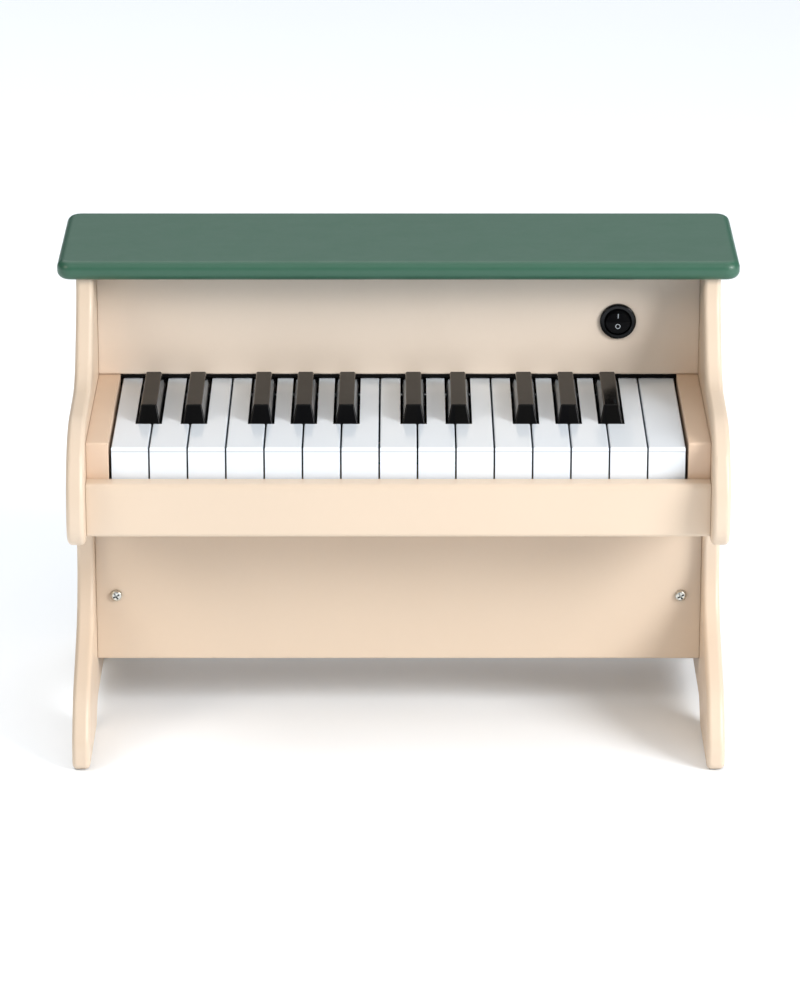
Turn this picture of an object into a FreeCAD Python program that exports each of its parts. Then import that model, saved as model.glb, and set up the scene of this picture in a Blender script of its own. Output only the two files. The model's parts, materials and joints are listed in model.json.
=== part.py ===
"""Toy upright piano with 25 working keys, as a parametric document.

Millimetres. +X runs to the treble end, +Y to the back and +Z up. The origin is on the floor under the
middle of the piano. Sizes called setback are measured backwards from the fronts of the white keys.
"""
import FreeCAD
import Part
import Sketcher
import math
import os
import re

SIZES = {
    # White keys
    "key_pitch": 23.65,
    "key_gap": 1.1,
    "key_top": 203.4,
    "key_height": 24.0,
    "tail_length": 22.0,
    "key_wall": 1.8,
    "key_skin": 2.4,
    "key_rounding": 0.8,
    "lip_height": 2.6,
    "lip_reach": 0.5,
    "key_dip": 2.2,
    # Black keys
    "black_setback": 45.7,
    "black_clearance": 15.5,
    "black_width": 14.0,
    "black_crest": 9.5,
    "black_rise": 10.8,
    "black_slope": 4.6,
    "black_heel": 1.0,
    "black_gap": 1.3,
    "black_rounding": 1.0,
    "pair_spread": 2.3,
    "trio_spread": 3.0,
    # Key hinge
    "axle_radius": 2.5,
    "axle_fit": 0.05,
    "axle_inset": 14.0,
    "axle_drop": 13.7,
    "axle_stub": 6.0,
    "hinge_length": 20.0,
    "hinge_inset": 2.0,
    "fin_play": 0.95,
    "fin_depth": 10.0,
    "fin_cap": 6.0,
    "comb_base": 3.0,
    # Key contacts, stops and rests
    "plunger_lead": 58.0,
    "plunger_length": 4.0,
    "press_clearance": 0.5,
    "dome_height": 3.8,
    "dome_radius": 4.6,
    "dome_crown": 3.0,
    "strip_thickness": 1.2,
    "strip_width": 16.0,
    "circuit_thickness": 1.6,
    "contact_width": 36.0,
    "contact_margin": 1.5,
    "batten_width": 8.0,
    "felt_thickness": 3.0,
    "stop_setback": 5.0,
    "stop_width": 16.0,
    "rest_clearance": 0.2,
    "rest_width": 8.0,
    # Cabinet boards
    "board": 11.0,
    "cheek_width": 14.0,
    "cheek_gap": 1.2,
    "rail_gap": 1.0,
    "rail_height": 34.6,
    "works_height": 19.8,
    "panel_setback": 132.5,
    "panel_gap": 3.1,
    "panel_height": 74.5,
    "tail_room": 48.5,
    "lower_setback": 61.0,
    "lower_bottom": 38.7,
    "edge_rounding": 3.0,
    "panel_rounding": 1.5,
    "joint_rounding": 0.6,
    "back_thickness": 4.0,
    "back_inset": 3.0,
    "post_width": 12.0,
    "block_width": 25.0,
    "block_depth": 20.0,
    "block_rise": 14.0,
    # Lid
    "lid_thickness": 12.0,
    "lid_overhang": 11.6,
    "lid_lead": 38.5,
    "lid_rear_overhang": 6.0,
    "lid_corner": 9.0,
    "lid_edge": 5.0,
    "dowel_radius": 4.0,
    "dowel_fit": 0.05,
    "dowel_in_board": 14.0,
    "dowel_in_lid": 7.0,
    # Outline of the side boards
    "arm_lead": 19.0,
    "side_lead": 31.5,
    "shoulder_lead": 32.5,
    "shoulder_drop": 14.0,
    "crook_lead": 63.5,
    "crook_rise": 19.6,
    "arm_setback": 21.0,
    "arm_rise": 14.6,
    "nose_inset": 1.0,
    "nose_drop": 23.4,
    "elbow_drop": 3.1,
    "leg_lead": 8.0,
    "leg_drop": 5.1,
    "knee_lead": 8.0,
    "knee_height": 84.0,
    "instep_setback": 17.0,
    "instep_height": 44.0,
    "toe_height": 18.0,
    "arch_start": 71.0,
    "arch_rear": 44.0,
    "arch_rise": 13.0,
    "arch_run": 15.0,
    "shoulder_radius": 45.0,
    "crook_radius": 36.0,
    "arm_radius": 54.0,
    "nose_radius": 54.0,
    "elbow_radius": 18.0,
    "leg_radius": 10.0,
    "knee_radius": 58.0,
    "instep_radius": 45.0,
    "toe_radius": 25.0,
    "foot_radius": 5.0,
    "arch_radius": 16.0,
    # Switch
    "switch_inset": 52.2,
    "switch_drop": 1.1,
    "bezel_lip": 1.6,
    "bezel_thickness": 2.2,
    "bezel_rounding": 1.2,
    "barrel_radius": 10.0,
    "barrel_wall": 1.1,
    "barrel_depth": 20.0,
    "barrel_floor": 3.0,
    "barrel_fit": 0.05,
    "rocker_play": 0.4,
    "rocker_pivot_depth": 1.5,
    "rocker_face": 3.2,
    "rocker_tilt": 10.0,
    "trunnion_radius": 1.0,
    "trunnion_play": 0.2,
    "trunnion_fit": 0.05,
    "blade_width": 4.8,
    "blade_thickness": 0.8,
    "blade_length": 8.0,
    "blade_spacing": 8.0,
    # Speaker
    "speaker_offset": 90.0,
    "speaker_lift": 3.5,
    "flange_edge": 0.4,
    "flange_thickness": 2.0,
    "cone_radius": 26.0,
    "cone_thickness": 0.8,
    "cone_gap": 0.5,
    "basket_neck": 15.0,
    "basket_depth": 18.0,
    "basket_wall": 1.0,
    "magnet_radius": 20.0,
    "magnet_depth": 9.0,
    "grille_margin": 3.0,
    "grille_hole": 2.0,
    # Battery box
    "battery_offset": 85.0,
    "battery_lift": 3.5,
    "cell_radius": 7.1,
    "cell_length": 50.5,
    "cell_pitch": 15.2,
    "cell_clearance": 0.7,
    "cell_seat": 0.2,
    "box_wall": 1.6,
    "cover_thickness": 2.4,
    "cover_margin": 9.0,
    "cover_lip": 3.0,
    "cover_fit": 0.3,
    # Main circuit board
    "main_length": 84.0,
    "main_width": 26.0,
    "main_rise": 6.0,
    "main_inset": 4.0,
    "main_margin": 4.0,
    "standoff_radius": 3.0,
    "chip_length": 14.0,
    "chip_height": 2.5,
    "capacitor_radius": 4.0,
    "capacitor_height": 11.0,
    # Screws
    "screw_inset": 12.9,
    "screw_rise": 43.7,
    "head_radius": 3.65,
    "head_height": 2.6,
    "shank_radius": 2.0,
    "shank_clearance": 7.0,
    "small_head_radius": 2.6,
    "small_head_height": 1.6,
    "small_shank_radius": 1.3,
    "rear_shank_clearance": 2.0,
    "board_shank_clearance": 1.6,
    "speaker_shank_clearance": 1.5,
    "slot_share": 0.28,
    "slot_reach": 1.25,
    "slot_floor": 0.4,
    "head_softness": 0.6,
    "screw_fit": 0.05,
    "rear_screw_margin": 12.0,
    # Wiring
    "wire_radius": 0.8,
    "wire_bend": 5.0,
    "wire_spread": 4.0,
    "ribbon_width": 12.0,
    "ribbon_thickness": 1.0,
    "ribbon_room": 0.3,
    "ribbon_inset": 12.0,
}

WHITE_KEY_COUNT = 15
OCTAVE_KEY_COUNT = 7
# Each black key stands over a joint between two white keys, moved by its spread
BLACK_KEYS = [
    (octave + joint, spread)
    for octave in (0, OCTAVE_KEY_COUNT)
    for joint, spread in (
        (1, "-pair_spread"),
        (2, "pair_spread"),
        (4, "-trio_spread"),
        (5, "0"),
        (6, "trio_spread"),
    )
]
# The comb's fins stand at the ends and at the joints that carry no black key
FIN_JOINTS = (0, 3, 7, 10, 14, 15)
GRILLE_RINGS = (1, 2, 3)
RING_HOLE_COUNT = 6
CELL_COUNT = 3
# The largest share of a board that a rounding on each of its edges may take
WALL_SHARE = 0.45
# The largest share of a wire's run that its bend may take
RUN_SHARE = 0.9

FORMULAS = {
    "key_length": "panel_setback + tail_length",
    "case_depth": "key_length + tail_room",
    "key_front": "(arm_lead + board + rail_gap - case_depth - lid_rear_overhang) / 2",
    "key_width": "key_pitch - key_gap",
    "key_bottom": "key_top - key_height",
    "keys_half": f"key_pitch * {WHITE_KEY_COUNT} / 2",
    "head_length": "black_setback - black_gap",
    "black_length": "panel_setback - black_setback - black_clearance",
    "tail_y": "key_front + key_length",
    "hinge_y": "tail_y - hinge_length",
    "axle_reach": "key_length - axle_inset",
    "axle_y": "key_front + axle_reach",
    "axle_z": "key_top - axle_drop",
    "inner_half": "keys_half + cheek_gap + cheek_width",
    "outer_half": "inner_half + board",
    "lid_half": "outer_half + lid_overhang",
    "rail_y": "key_front - rail_gap",
    "rail_face": "rail_y - board",
    "toe_y": "rail_face - arm_lead",
    "bed_top": "key_bottom - works_height",
    "bed_bottom": "bed_top - board",
    "panel_y": "key_front + panel_setback",
    "panel_rear": "panel_y + board",
    "panel_bottom": "key_top + panel_gap",
    "case_height": "panel_bottom + panel_height",
    "lower_y": "key_front + lower_setback",
    "block_y": "lower_y + board",
    "rear_y": "key_front + case_depth",
    "back_y": "rear_y - back_inset - back_thickness",
    "back_face": "back_y + back_thickness",
    "arch_end": "rear_y - arch_rear",
    "fin_thickness": "key_gap + 2 * (hinge_inset - fin_play)",
    "fin_y": "axle_y - fin_depth / 2",
    "plunger_y": "axle_y - plunger_lead",
    "press_drop": "(plunger_lead + contact_width / 2) * sin(key_dip)",
    "dome_top": "key_bottom - press_drop - press_clearance",
    "contact_top": "dome_top - dome_height - strip_thickness",
    "contact_z": "contact_top - circuit_thickness",
    "contact_y": "plunger_y - contact_width / 2",
    "contact_half": "keys_half - contact_margin",
    "contact_shank": "contact_top - bed_top - board_shank_clearance",
    "stop_top": "key_bottom - axle_reach * sin(key_dip) - press_clearance",
    "stop_z": "stop_top - felt_thickness",
    "rest_top": "key_bottom - rest_clearance",
    "rest_z": "rest_top - felt_thickness",
    "rest_y": "tail_y - rest_width / 2",
    "switch_x": "inner_half - switch_inset",
    "switch_height": "panel_bottom + panel_height / 2 - switch_drop",
    "bezel_radius": "barrel_radius + bezel_lip",
    "barrel_bore": "barrel_radius - barrel_wall",
    "barrel_rear": "panel_y + barrel_depth",
    "rocker_radius": "barrel_bore - rocker_play",
    "trunnion_reach": "barrel_radius - trunnion_play",
    "pivot_y": "panel_y + rocker_pivot_depth",
    "works_middle": "(bed_top + case_height) / 2",
    "speaker_x": "-speaker_offset",
    "speaker_height": "works_middle + speaker_lift",
    "flange_radius": "cone_radius + basket_wall + 2 * (small_head_radius + flange_edge)",
    "speaker_screw_circle": "flange_radius - small_head_radius - flange_edge",
    "grille_step": f"(cone_radius - grille_hole - grille_margin) / {len(GRILLE_RINGS)}",
    "cone_y": "back_y - flange_thickness",
    "magnet_y": "cone_y - basket_depth - magnet_depth",
    "battery_height": "works_middle + battery_lift",
    "bay_length": "cell_length + 2 * cell_clearance",
    "bay_height": f"{CELL_COUNT - 1} * cell_pitch + 2 * cell_radius + 2 * cell_clearance",
    "bay_depth": "2 * cell_radius + 2 * cell_clearance",
    "main_z": "bed_top + main_rise",
    "main_top": "main_z + circuit_thickness",
    "main_y": "back_y - main_inset - main_width",
    "main_shank": "main_top - bed_top - board_shank_clearance",
    "main_screw_x": "main_length / 2 - main_margin",
    "landing_y": "main_y + main_margin",
    "screw_x": "inner_half - screw_inset",
    "screw_z": "lower_bottom + screw_rise",
    "shank_length": "board + block_depth - shank_clearance",
    "rear_shank_length": "back_thickness + post_width - rear_shank_clearance",
    "speaker_shank_length": "flange_thickness + back_thickness - speaker_shank_clearance",
    "post_x": "inner_half - post_width / 2",
    "ribbon_front": "contact_y + ribbon_inset",
    "ribbon_rear": "main_y + ribbon_inset",
}
DOWEL_ROWS = ("(3 * panel_rear + rear_y) / 4", "(panel_rear + 3 * rear_y) / 4")
DOWEL_COLUMNS = ("-inner_half - board / 2", "inner_half + board / 2")
CONTACT_SCREW_COLUMNS = ("-contact_half + batten_width", "0", "contact_half - batten_width")

ALONG_X = FreeCAD.Rotation(FreeCAD.Vector(0, 1, 0), 90)
ALONG_Y = FreeCAD.Rotation(FreeCAD.Vector(1, 0, 0), -90)
TOWARDS_FRONT = FreeCAD.Rotation(FreeCAD.Vector(1, 0, 0), 90)
ASKEW_TO_FRONT = TOWARDS_FRONT.multiply(FreeCAD.Rotation(FreeCAD.Vector(0, 0, 1), 30))
UPRIGHT = FreeCAD.Rotation()
NEAR = 1e-4
WORD = re.compile(r"[a-z][a-z_]*")

doc = FreeCAD.newDocument("ToyPiano")
sheet = doc.addObject("Spreadsheet::Sheet", "Sizes")
nodes = []


# Sheet and formulas


def fill_sheet():
    """Write each driving size to a named cell."""
    for row, (name, length) in enumerate(SIZES.items(), start=1):
        sheet.set(f"A{row}", name)
        sheet.set(f"B{row}", str(length))
        sheet.setAlias(f"B{row}", name)
    doc.recompute()


def expand(text):
    """Spell a formula out in cells of the sheet."""

    def swap(match):
        word = match.group()
        if word in SIZES:
            return f"Sizes.{word}"
        if word in FORMULAS:
            return f"({expand(FORMULAS[word])})"
        return word

    return WORD.sub(swap, text)


def size(text):
    """The present value of a formula."""
    return float(sheet.evalExpression(expand(text)))


def bind(target, **formulas):
    """Tie properties of an object to formulas."""
    for name, text in formulas.items():
        target.setExpression(name, expand(text))


def place(target, x, y, z, turn=UPRIGHT):
    """Put an object at a place given by formulas."""
    target.Placement = FreeCAD.Placement(FreeCAD.Vector(), turn)
    for axis, text in zip("xyz", (x, y, z)):
        target.setExpression(f"Placement.Base.{axis}", expand(text))


# Primitives and booleans


def box(name, corner, spans):
    """A block with its low corner and its spans along X, Y and Z."""
    block = doc.addObject("Part::Box", name)
    bind(block, Length=spans[0], Width=spans[1], Height=spans[2])
    place(block, *corner)
    return block


def rod(name, radius, length, base, turn=UPRIGHT):
    """A round bar from its base, turned from +Z."""
    bar = doc.addObject("Part::Cylinder", name)
    bind(bar, Radius=radius, Height=length)
    place(bar, *base, turn)
    return bar


def taper(name, low_radius, high_radius, length, base, turn=UPRIGHT):
    """A cone frustum from its base, turned from +Z."""
    cone = doc.addObject("Part::Cone", name)
    bind(cone, Radius1=low_radius, Radius2=high_radius, Height=length)
    place(cone, *base, turn)
    return cone


def join(name, *members):
    """One solid made of touching members."""
    union = doc.addObject("Part::MultiFuse", name)
    union.Shapes = list(members)
    return union


def cut(name, base, *tools):
    """A base with every tool taken away."""
    difference = doc.addObject("Part::Cut", name)
    difference.Base = base
    difference.Tool = tools[0] if len(tools) == 1 else join(f"{name}_tools", *tools)
    return difference


def group(name, members):
    """Separate solids that share one node."""
    compound = doc.addObject("Part::Compound", name)
    compound.Links = list(members)
    return compound


def on_plane(edge, axis, height):
    """True where a whole edge lies at one height along an axis."""
    return all(abs(getattr(vertex.Point, axis) - height) < NEAR for vertex in edge.Vertexes)


def rounded(name, base, radius, picked):
    """A base whose picked edges are rounded."""
    doc.recompute()
    reach = size(radius)
    edges = [(index, reach, reach) for index, edge in enumerate(base.Shape.Edges, 1) if picked(edge)]
    if not edges:
        raise ValueError(f"{name}: no edge to round")
    fillet = doc.addObject("Part::Fillet", name)
    fillet.Base = base
    fillet.Edges = edges
    return fillet


def within_wall(radius, wall):
    """A rounding that leaves a wall some flat between its two edges."""
    return f"min({radius}; {WALL_SHARE} * {wall})"


def node(label, target):
    """Register a finished sub-part under its own name."""
    target.Label = label
    nodes.append(target)
    return target


# Sketched bodies


def origin_plane(body, role):
    """One of a body's own origin planes."""
    return next(plane for plane in body.Origin.OriginFeatures if plane.Role == role)


def new_sketch(body, name, plane):
    """An empty sketch on an origin plane."""
    sketch = body.newObject("Sketcher::SketchObject", name)
    sketch.AttachmentSupport = (origin_plane(body, plane), [""])
    sketch.MapMode = "FlatFace"
    return sketch


def dimension(sketch, kind, text, *where):
    """A driving constraint tied to a formula."""
    index = sketch.addConstraint(Sketcher.Constraint(kind, *where, size(text)))
    sketch.setExpression(f"Constraints[{index}]", expand(text))


def draw_polygon(sketch, corners):
    """A closed outline through corners given by formulas."""
    count = len(corners)
    spots = [FreeCAD.Vector(size(across), size(up), 0) for across, up in corners]
    for index, spot in enumerate(spots):
        sketch.addGeometry(Part.LineSegment(spot, spots[(index + 1) % count]), False)
    for index in range(count):
        sketch.addConstraint(Sketcher.Constraint("Coincident", index, 2, (index + 1) % count, 1))
    for index, (across, up) in enumerate(corners):
        dimension(sketch, "DistanceX", across, -1, 1, index, 1)
        dimension(sketch, "DistanceY", up, -1, 1, index, 1)


def draw_rectangle(sketch, left, bottom, right, top):
    """A rectangle between two corners."""
    draw_polygon(sketch, [(left, bottom), (right, bottom), (right, top), (left, top)])


def draw_circle(sketch, across, up, radius):
    """A circle about a centre given by formulas."""
    centre = FreeCAD.Vector(size(across), size(up), 0)
    circle = Part.Circle(centre, FreeCAD.Vector(0, 0, 1), size(radius))
    index = sketch.addGeometry(circle, False)
    dimension(sketch, "DistanceX", across, -1, 1, index, 3)
    dimension(sketch, "DistanceY", up, -1, 1, index, 3)
    dimension(sketch, "Radius", radius, index)


def pad(body, sketch, length, backwards=False):
    """Material raised from a sketch."""
    feature = body.newObject("PartDesign::Pad", f"{body.Name}_pad")
    feature.Profile = sketch
    feature.Reversed = backwards
    bind(feature, Length=length)
    doc.recompute()
    return feature


def pocket(body, sketch, length=None, backwards=False):
    """Material taken from a sketch, right through where no length is given."""
    before = body.Shape.Volume
    feature = body.newObject("PartDesign::Pocket", f"{sketch.Name}_pocket")
    feature.Profile = sketch
    feature.Reversed = backwards
    if length is None:
        feature.Type = "ThroughAll"
    else:
        bind(feature, Length=length)
    doc.recompute()
    if body.Shape.Volume >= before:
        raise ValueError(f"{sketch.Name}: the pocket cuts nothing")
    return feature


def round_body(body, name, radius, picked):
    """Round the picked edges of a body's present tip."""
    doc.recompute()
    base = body.Tip
    names = [f"Edge{index}" for index, edge in enumerate(base.Shape.Edges, 1) if picked(edge)]
    if not names:
        raise ValueError(f"{name}: no edge to round")
    fillet = body.newObject("PartDesign::Fillet", name)
    fillet.Base = (base, names)
    bind(fillet, Radius=radius)
    doc.recompute()
    return fillet


# Cabinet


def side_corners():
    """The corners of a side board's outline with the radius of each, from the top front down."""
    return [
        ("panel_y - side_lead", "case_height", None),
        ("panel_y - shoulder_lead", "case_height - shoulder_drop", "shoulder_radius"),
        ("panel_y - crook_lead", "key_top + crook_rise", "crook_radius"),
        ("toe_y + arm_setback", "key_top + arm_rise", "arm_radius"),
        ("toe_y + nose_inset", "key_top - nose_drop", "nose_radius"),
        ("toe_y + nose_inset", "bed_bottom - elbow_drop", "elbow_radius"),
        ("lower_y - leg_lead", "bed_bottom - leg_drop", "leg_radius"),
        ("lower_y - knee_lead", "knee_height", "knee_radius"),
        ("toe_y + instep_setback", "instep_height", "instep_radius"),
        ("toe_y", "toe_height", "toe_radius"),
        ("toe_y", "0", "foot_radius"),
        ("toe_y + arch_start", "0", "foot_radius"),
        ("toe_y + arch_start + arch_run", "arch_rise", "arch_radius"),
        ("arch_end - arch_run", "arch_rise", "arch_radius"),
        ("arch_end", "0", "foot_radius"),
        ("rear_y", "0", "foot_radius"),
        ("rear_y", "case_height", None),
    ]


def fitted_shares(corners):
    """The share of each corner's radius that fits on the outline's edges beside it."""
    count = len(corners)
    spots = [FreeCAD.Vector(size(across), size(up), 0) for across, up, _ in corners]
    edges = [spots[(index + 1) % count] - spots[index] for index in range(count)]
    turns = [edges[index - 1].getAngle(edges[index]) for index in range(count)]
    reaches = [
        size(radius) * math.tan(turn / 2) if radius else 0.0
        for (_, _, radius), turn in zip(corners, turns)
    ]
    shares = [1.0] * count
    for index, edge in enumerate(edges):
        after = (index + 1) % count
        wanted = reaches[index] + reaches[after]
        room = 2 * WALL_SHARE * edge.Length
        for corner in (index, after):
            if wanted > edge.Length - NEAR:
                shares[corner] = min(shares[corner], room / wanted)
    return shares


def side_board(label, x):
    """A side board with its shaped front edge, feet and dowel holes."""
    body = doc.addObject("PartDesign::Body", label)
    place(body, x, "0", "0")
    corners = side_corners()
    outline = new_sketch(body, f"{label}_outline", "YZ_Plane")
    draw_polygon(outline, [(across, up) for across, up, _ in corners])
    pad(body, outline, "board")
    for number, ((across, up, radius), share) in enumerate(zip(corners, fitted_shares(corners))):
        if radius is None:
            continue
        y, z = size(across), size(up)
        round_body(
            body,
            f"{label}_corner_{number}",
            f"{radius} * {share}",
            lambda edge: on_plane(edge, "y", y) and on_plane(edge, "z", z),
        )
    faces = (0.0, size("board"))
    top = size("case_height")
    round_body(
        body,
        f"{label}_soft_edges",
        within_wall("edge_rounding", "board"),
        lambda edge: any(on_plane(edge, "x", face) for face in faces) and not on_plane(edge, "z", top),
    )
    holes = new_sketch(body, f"{label}_dowels", "XY_Plane")
    holes.setExpression("AttachmentOffset.Base.z", expand("case_height"))
    doc.recompute()
    for y in DOWEL_ROWS:
        draw_circle(holes, "board / 2", y, "dowel_radius + dowel_fit")
    pocket(body, holes, "dowel_in_board + dowel_fit")
    return node(label, body)


def lid():
    """The lid board with rounded corners and edges, and blind dowel holes."""
    body = doc.addObject("PartDesign::Body", "lid")
    place(body, "0", "0", "case_height")
    plan = new_sketch(body, "lid_plan", "XY_Plane")
    draw_rectangle(plan, "-lid_half", "panel_y - lid_lead", "lid_half", "rear_y + lid_rear_overhang")
    pad(body, plan, "lid_thickness")
    top = size("lid_thickness")
    round_body(
        body,
        "lid_corners",
        "lid_corner",
        lambda edge: not on_plane(edge, "z", 0.0) and not on_plane(edge, "z", top),
    )
    round_body(
        body,
        "lid_soft_edges",
        within_wall("lid_edge", "lid_thickness"),
        lambda edge: on_plane(edge, "z", 0.0) or on_plane(edge, "z", top),
    )
    holes = new_sketch(body, "lid_dowel_holes", "XY_Plane")
    for x in DOWEL_COLUMNS:
        for y in DOWEL_ROWS:
            draw_circle(holes, x, y, "dowel_radius + dowel_fit")
    pocket(body, holes, "dowel_in_lid + dowel_fit", backwards=True)
    return node("lid", body)


def lid_dowels():
    """Wooden dowels between the side boards and the lid."""
    pins = []
    for x in DOWEL_COLUMNS:
        for y in DOWEL_ROWS:
            base = (x, y, "case_height - dowel_in_board")
            pins.append(rod(f"dowel_{len(pins)}", "dowel_radius", "dowel_in_board + dowel_in_lid", base))
    return node("lid_dowels", group("lid_dowels", pins))


def at_ends(edge):
    """True for an edge in the plane of a side board's inner face."""
    inner = size("inner_half")
    return on_plane(edge, "x", -inner) or on_plane(edge, "x", inner)


def soften_ends(body, name):
    """Round a panel's front edges where it meets the side boards."""
    round_body(body, name, "joint_rounding", lambda edge: at_ends(edge) and on_plane(edge, "y", 0.0))


def upper_front_panel():
    """The panel behind the keys, with the switch hole."""
    body = doc.addObject("PartDesign::Body", "upper_front_panel")
    place(body, "0", "panel_y", "0")
    face = new_sketch(body, "upper_face", "XZ_Plane")
    draw_rectangle(face, "-inner_half", "panel_bottom", "inner_half", "case_height")
    pad(body, face, "board", backwards=True)
    bottom = size("panel_bottom")
    round_body(
        body,
        "upper_soft_edge",
        "panel_rounding",
        lambda edge: on_plane(edge, "z", bottom) and on_plane(edge, "y", 0.0),
    )
    soften_ends(body, "upper_soft_ends")
    hole = new_sketch(body, "switch_hole", "XZ_Plane")
    draw_circle(hole, "switch_x", "switch_height", "barrel_radius + barrel_fit")
    pocket(body, hole)
    return node("upper_front_panel", body)


def lower_front_panel():
    """The panel between the legs, with its two screw holes."""
    body = doc.addObject("PartDesign::Body", "lower_front_panel")
    place(body, "0", "lower_y", "0")
    face = new_sketch(body, "lower_face", "XZ_Plane")
    draw_rectangle(face, "-inner_half", "lower_bottom", "inner_half", "bed_bottom")
    pad(body, face, "board", backwards=True)
    bottom = size("lower_bottom")
    round_body(
        body,
        "lower_soft_edge",
        "panel_rounding",
        lambda edge: on_plane(edge, "z", bottom) and on_plane(edge, "y", 0.0),
    )
    soften_ends(body, "lower_soft_ends")
    holes = new_sketch(body, "lower_screw_holes", "XZ_Plane")
    for x in ("-screw_x", "screw_x"):
        draw_circle(holes, x, "screw_z", "shank_radius + screw_fit")
    pocket(body, holes)
    return node("lower_front_panel", body)


def back_panel():
    """The thin rear panel with speaker holes, battery opening and screw holes."""
    body = doc.addObject("PartDesign::Body", "back_panel")
    place(body, "0", "back_y", "0")
    face = new_sketch(body, "back_outline", "XZ_Plane")
    draw_rectangle(face, "-inner_half", "bed_bottom", "inner_half", "case_height")
    pad(body, face, "back_thickness", backwards=True)
    bay = new_sketch(body, "battery_opening", "XZ_Plane")
    draw_rectangle(
        bay,
        "battery_offset - bay_length / 2",
        "battery_height - bay_height / 2",
        "battery_offset + bay_length / 2",
        "battery_height + bay_height / 2",
    )
    pocket(body, bay)
    holes = new_sketch(body, "rear_screw_holes", "XZ_Plane")
    for x, z in rear_screw_spots():
        draw_circle(holes, x, z, "small_shank_radius + screw_fit")
    for x, z in speaker_screw_spots() + cover_screw_spots():
        draw_circle(holes, x, z, "small_shank_radius + screw_fit")
    draw_circle(holes, "speaker_x", "speaker_height", "grille_hole")
    pocket(body, holes)
    for ring in GRILLE_RINGS:
        first = new_sketch(body, f"grille_ring_{ring}", "XZ_Plane")
        first.setExpression("AttachmentOffset.Base.x", expand("speaker_x"))
        first.setExpression("AttachmentOffset.Base.y", expand("speaker_height"))
        doc.recompute()
        draw_circle(first, f"{ring} * grille_step", "0", "grille_hole")
        hole = pocket(body, first)
        pattern = body.newObject("PartDesign::PolarPattern", f"grille_pattern_{ring}")
        pattern.Originals = [hole]
        pattern.Axis = (first, ["N_Axis"])
        pattern.Occurrences = RING_HOLE_COUNT * ring
        body.Tip = pattern
        doc.recompute()
    return node("back_panel", body)


def board_with_soft_edges(label, corner, spans, radius, picked, joints):
    """A plain board with some edges rounded, and then the edges at its joints."""
    blank = box(f"{label}_blank", corner, spans)
    soft = rounded(f"{label}_soft", blank, radius, picked)
    return node(label, rounded(label, soft, "joint_rounding", joints))


def key_rail():
    """The rail in front of the keys."""
    front = size("rail_face")
    heights = (size("bed_bottom"), size("bed_bottom + rail_height"))
    return board_with_soft_edges(
        "key_rail",
        ("-inner_half", "rail_face", "bed_bottom"),
        ("2 * inner_half", "board", "rail_height"),
        within_wall("edge_rounding", "board"),
        lambda edge: on_plane(edge, "y", front) and any(on_plane(edge, "z", level) for level in heights),
        lambda edge: at_ends(edge) and on_plane(edge, "y", front),
    )


def key_cheek(label, x):
    """A strip beside the keys that stands as high as the upper panel's lower edge."""
    front, top, near = size("rail_y"), size("panel_bottom"), size(x)
    flanks = (near, near + size("cheek_width"))
    return board_with_soft_edges(
        label,
        (x, "rail_y", "bed_top"),
        ("cheek_width", "fin_y - cheek_gap - rail_y", "panel_bottom - bed_top"),
        "panel_rounding",
        lambda edge: on_plane(edge, "y", front) and on_plane(edge, "z", top),
        lambda edge: on_plane(edge, "z", top) and any(on_plane(edge, "x", flank) for flank in flanks),
    )


def key_bed():
    """The board under the keys and the works."""
    corner = ("-inner_half", "rail_y", "bed_bottom")
    return node("key_bed", box("key_bed", corner, ("2 * inner_half", "back_y - rail_y", "board")))


def rear_battens():
    """Two posts that hold the back panel."""
    posts = []
    for side, x in (("left", "-inner_half"), ("right", "inner_half - post_width")):
        corner = (x, "back_y - post_width", "bed_top")
        post = box(f"{side}_post", corner, ("post_width", "post_width", "case_height - bed_top"))
        pilots = [
            rod(
                f"{side}_post_pilot_{index}",
                "small_shank_radius + screw_fit",
                "post_width",
                (spot_x, "back_y - post_width", spot_z),
                ALONG_Y,
            )
            for index, (spot_x, spot_z) in enumerate(rear_screw_spots())
            if spot_x.startswith("-") == x.startswith("-")
        ]
        posts.append(cut(f"{side}_rear_batten", post, *pilots))
    return node("rear_battens", group("rear_battens", posts))


def corner_blocks():
    """Two blocks behind the lower panel that take its screws."""
    blocks = []
    spans = ("block_width", "block_depth", "bed_bottom - lower_bottom - block_rise")
    sides = (("left", "-inner_half", "-screw_x"), ("right", "inner_half - block_width", "screw_x"))
    for side, x, screw in sides:
        block = box(f"{side}_block", (x, "block_y", "lower_bottom + block_rise"), spans)
        spot = (screw, "block_y", "screw_z")
        pilot = rod(f"{side}_block_pilot", "shank_radius + screw_fit", "block_depth", spot, ALONG_Y)
        blocks.append(cut(f"{side}_corner_block", block, pilot))
    return node("corner_blocks", group("corner_blocks", blocks))


# Keys


def joint_x(joint):
    """Joint on the left of a white key, counted from the bass end."""
    return f"({joint} * key_pitch - keys_half)"


def black_x(joint, spread):
    """Middle of a black key."""
    return f"({joint_x(joint)} + {spread})"


def white_edges(index):
    """Left and right edges of a white key at its head and at its tail."""
    left = f"({joint_x(index)} + key_gap / 2)"
    right = f"({joint_x(index + 1)} - key_gap / 2)"
    tail_left, tail_right = left, right
    for joint, spread in BLACK_KEYS:
        if joint == index:
            tail_left = f"({black_x(joint, spread)} + black_width / 2 + black_gap)"
        if joint == index + 1:
            tail_right = f"({black_x(joint, spread)} - black_width / 2 - black_gap)"
    return left, right, tail_left, tail_right


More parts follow.
